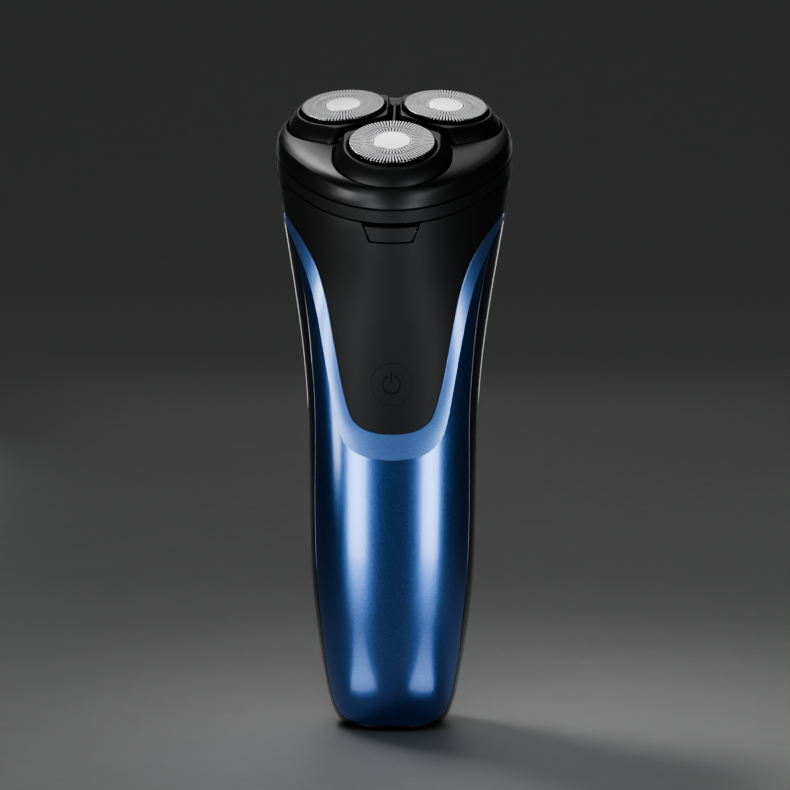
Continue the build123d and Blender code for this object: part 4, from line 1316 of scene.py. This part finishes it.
# ------------------------------------------------------------------ floor, light and camera
mesh = bpy.data.meshes.new("floor")
sweep = [(-3.0, 0.0), (0.0, 0.0), (1.9, 0.0)] + [(1.9 + 0.9 * sin(a), 0.9 - 0.9 * cos(a)) for a in np.linspace(0, pi / 2, 25)[1:]] + [(2.8, 3.4)]
mesh.from_pydata([(x, y, z) for y, z in sweep for x in (-3.2, 3.2)], [], [(2 * k, 2 * k + 1, 2 * k + 3, 2 * k + 2) for k in range(len(sweep) - 1)])
mesh.polygons.foreach_set("use_smooth", [True] * len(mesh.polygons))
floor = bpy.data.objects.new("floor", mesh)
COLLECTION.objects.link(floor)
floor.data.materials.append(plastic("floor_paint", (0.44, 0.44, 0.44), 0.62, 0.05, 300.0, 0.00002, 0.3, vary=0.02))

world = bpy.data.worlds.new("studio")
bpy.context.scene.world = world
world.use_nodes = True
bg = world.node_tree.nodes["Background"]
bg.inputs[0].default_value = (0.55, 0.57, 0.60, 1)
bg.inputs[1].default_value = 0.04


def area(name, azimuth, elevation, distance, size_mm, radiance, colour=(1, 1, 1), aim=(0, 0, 100), spread=180.0, tilt=0.0):
    """soft box seen from the object at an azimuth (0 = straight in front, positive to the right) and an elevation"""
    from mathutils import Vector
    light = bpy.data.lights.new(name, "AREA")
    light.shape = "RECTANGLE"
    light.size, light.size_y = size_mm[0] / 1000, size_mm[1] / 1000
    # a narrow spread concentrates the same power, so it is divided out again
    half = radians(spread / 2)
    gain = tan(half) / (tan(half) - half) if spread < 179 else 1.0
    light.energy = radiance * pi * light.size * light.size_y / gain
    light.color = colour
    light.spread = radians(spread)
    ob = bpy.data.objects.new(name, light)
    COLLECTION.objects.link(ob)
    t = Vector(aim) / 1000
    az, el, d = radians(azimuth), radians(elevation), distance / 1000
    p = t + Vector((sin(az) * cos(el), -cos(az) * cos(el), sin(el))) * d
    ob.location = p
    look = Vector((-sin(az) * cos(el + radians(-tilt)), cos(az) * cos(el + radians(-tilt)), -sin(el + radians(-tilt))))
    ob.rotation_euler = look.to_track_quat("-Z", "Y").to_euler()
    return ob


# two tall boxes give the light bands down the blue shell; they end below the head
area("band_left", -31, 0, 250, (92, 118), 9.5, (0.95, 0.98, 1.0), (0, 0, 60), 46, tilt=9)
area("band_right", 34, 0, 250, (92, 118), 9.5, (0.95, 0.98, 1.0), (0, 0, 60), 46, tilt=9)
# key for the head from the left, weaker fill from the right
area("key_left", -60, -14, 420, (150, 70), 44.0, (1, 1, 1), (0, 0, 148), 26, tilt=4)
area("side_left", -133, 60, 640, (190, 150), 32.0, (1, 1, 1), (0, 0, 150), 24)
area("fill_right", 60, 3, 640, (230, 170), 1.2, (1, 1, 1), (0, 0, 150), 60)
area("side_right", 150, 60, 640, (190, 150), 3.0, (1, 1, 1), (0, 0, 150), 24)
area("top_front", 0, 68, 640, (300, 120), 5.0, (1, 1, 1), (0, 0, 150), 24)
# overhead panel behind the head, seen in the cutters
area("top", 180, 50, 620, (480, 340), 3.0, (1, 1, 1), (0, 0, 155), 30)
# narrow rim lights behind
area("rim_left", -158, 4, 700, (60, 560), 2.2, (0.95, 0.98, 1.0), (0, 0, 90), 60)
area("rim_right", 158, 4, 700, (60, 560), 2.2, (0.95, 0.98, 1.0), (0, 0, 90), 60)

# wide soft panel over the floor behind the object
area("floor_wash", 180, 88, 2300, (4200, 2400), 0.24, (1, 1, 1), (0, 1100, 0), 160)
# soft box behind, for the back of the shell
area("back_soft", 180, 16, 1400, (640, 640), 1.1, (1, 1, 1), (0, 0, 90), 36)
area("front_fill", 0, 30, 700, (700, 260), 0.9, (1, 1, 1), (0, 0, 152), 30)
# low lamps in front for the bands near the foot, where the shell looks down at the floor
for tag, az, mid, size, glow in (("low_left", -33, 74, (24, 80), 2.6), ("low_right", 36, 74, (24, 80), 2.6),
                                 ("mid_left", -30, 175, (62, 122), 8.0), ("mid_right", 33, 175, (62, 122), 8.0)):
    low = area(tag, az, 0.6, mid, size, glow, (0.95, 0.98, 1.0), (0, 0, 0), 150)
    low.rotation_euler = (pi, 0, radians(az))
    low.visible_camera = False

yaw, pitch, rollv, x0 = radians(1.5), radians(5.7), radians(0.2), 0.45
from mathutils import Matrix, Vector
right = Vector((cos(yaw), sin(yaw), 0))
fwd = Vector((-sin(yaw) * cos(pitch), cos(yaw) * cos(pitch), -sin(pitch)))
up = right.cross(fwd)
r2 = right * cos(rollv) + up * sin(rollv)
u2 = -right * sin(rollv) + up * cos(rollv)
cam_data = bpy.data.cameras.new("camera")
cam = bpy.data.objects.new("camera", cam_data)
COLLECTION.objects.link(cam)
pos = Vector((650 * sin(yaw) + x0 * cos(yaw), -650 * cos(yaw) + x0 * sin(yaw) + Y_SHIFT, 151.4)) / 1000
rot = Matrix((r2, u2, -fwd)).transposed()
cam.matrix_world = Matrix.Translation(pos) @ rot.to_4x4()
cam_data.sensor_width = 36.0
cam_data.lens = 2510.0 * 36.0 / 790.0
cam_data.clip_start, cam_data.clip_end = 0.01, 20
bpy.context.scene.camera = cam
bpy.context.scene.view_settings.view_transform = "AgX"
bpy.context.scene.view_settings.look = "AgX - Medium High Contrast"
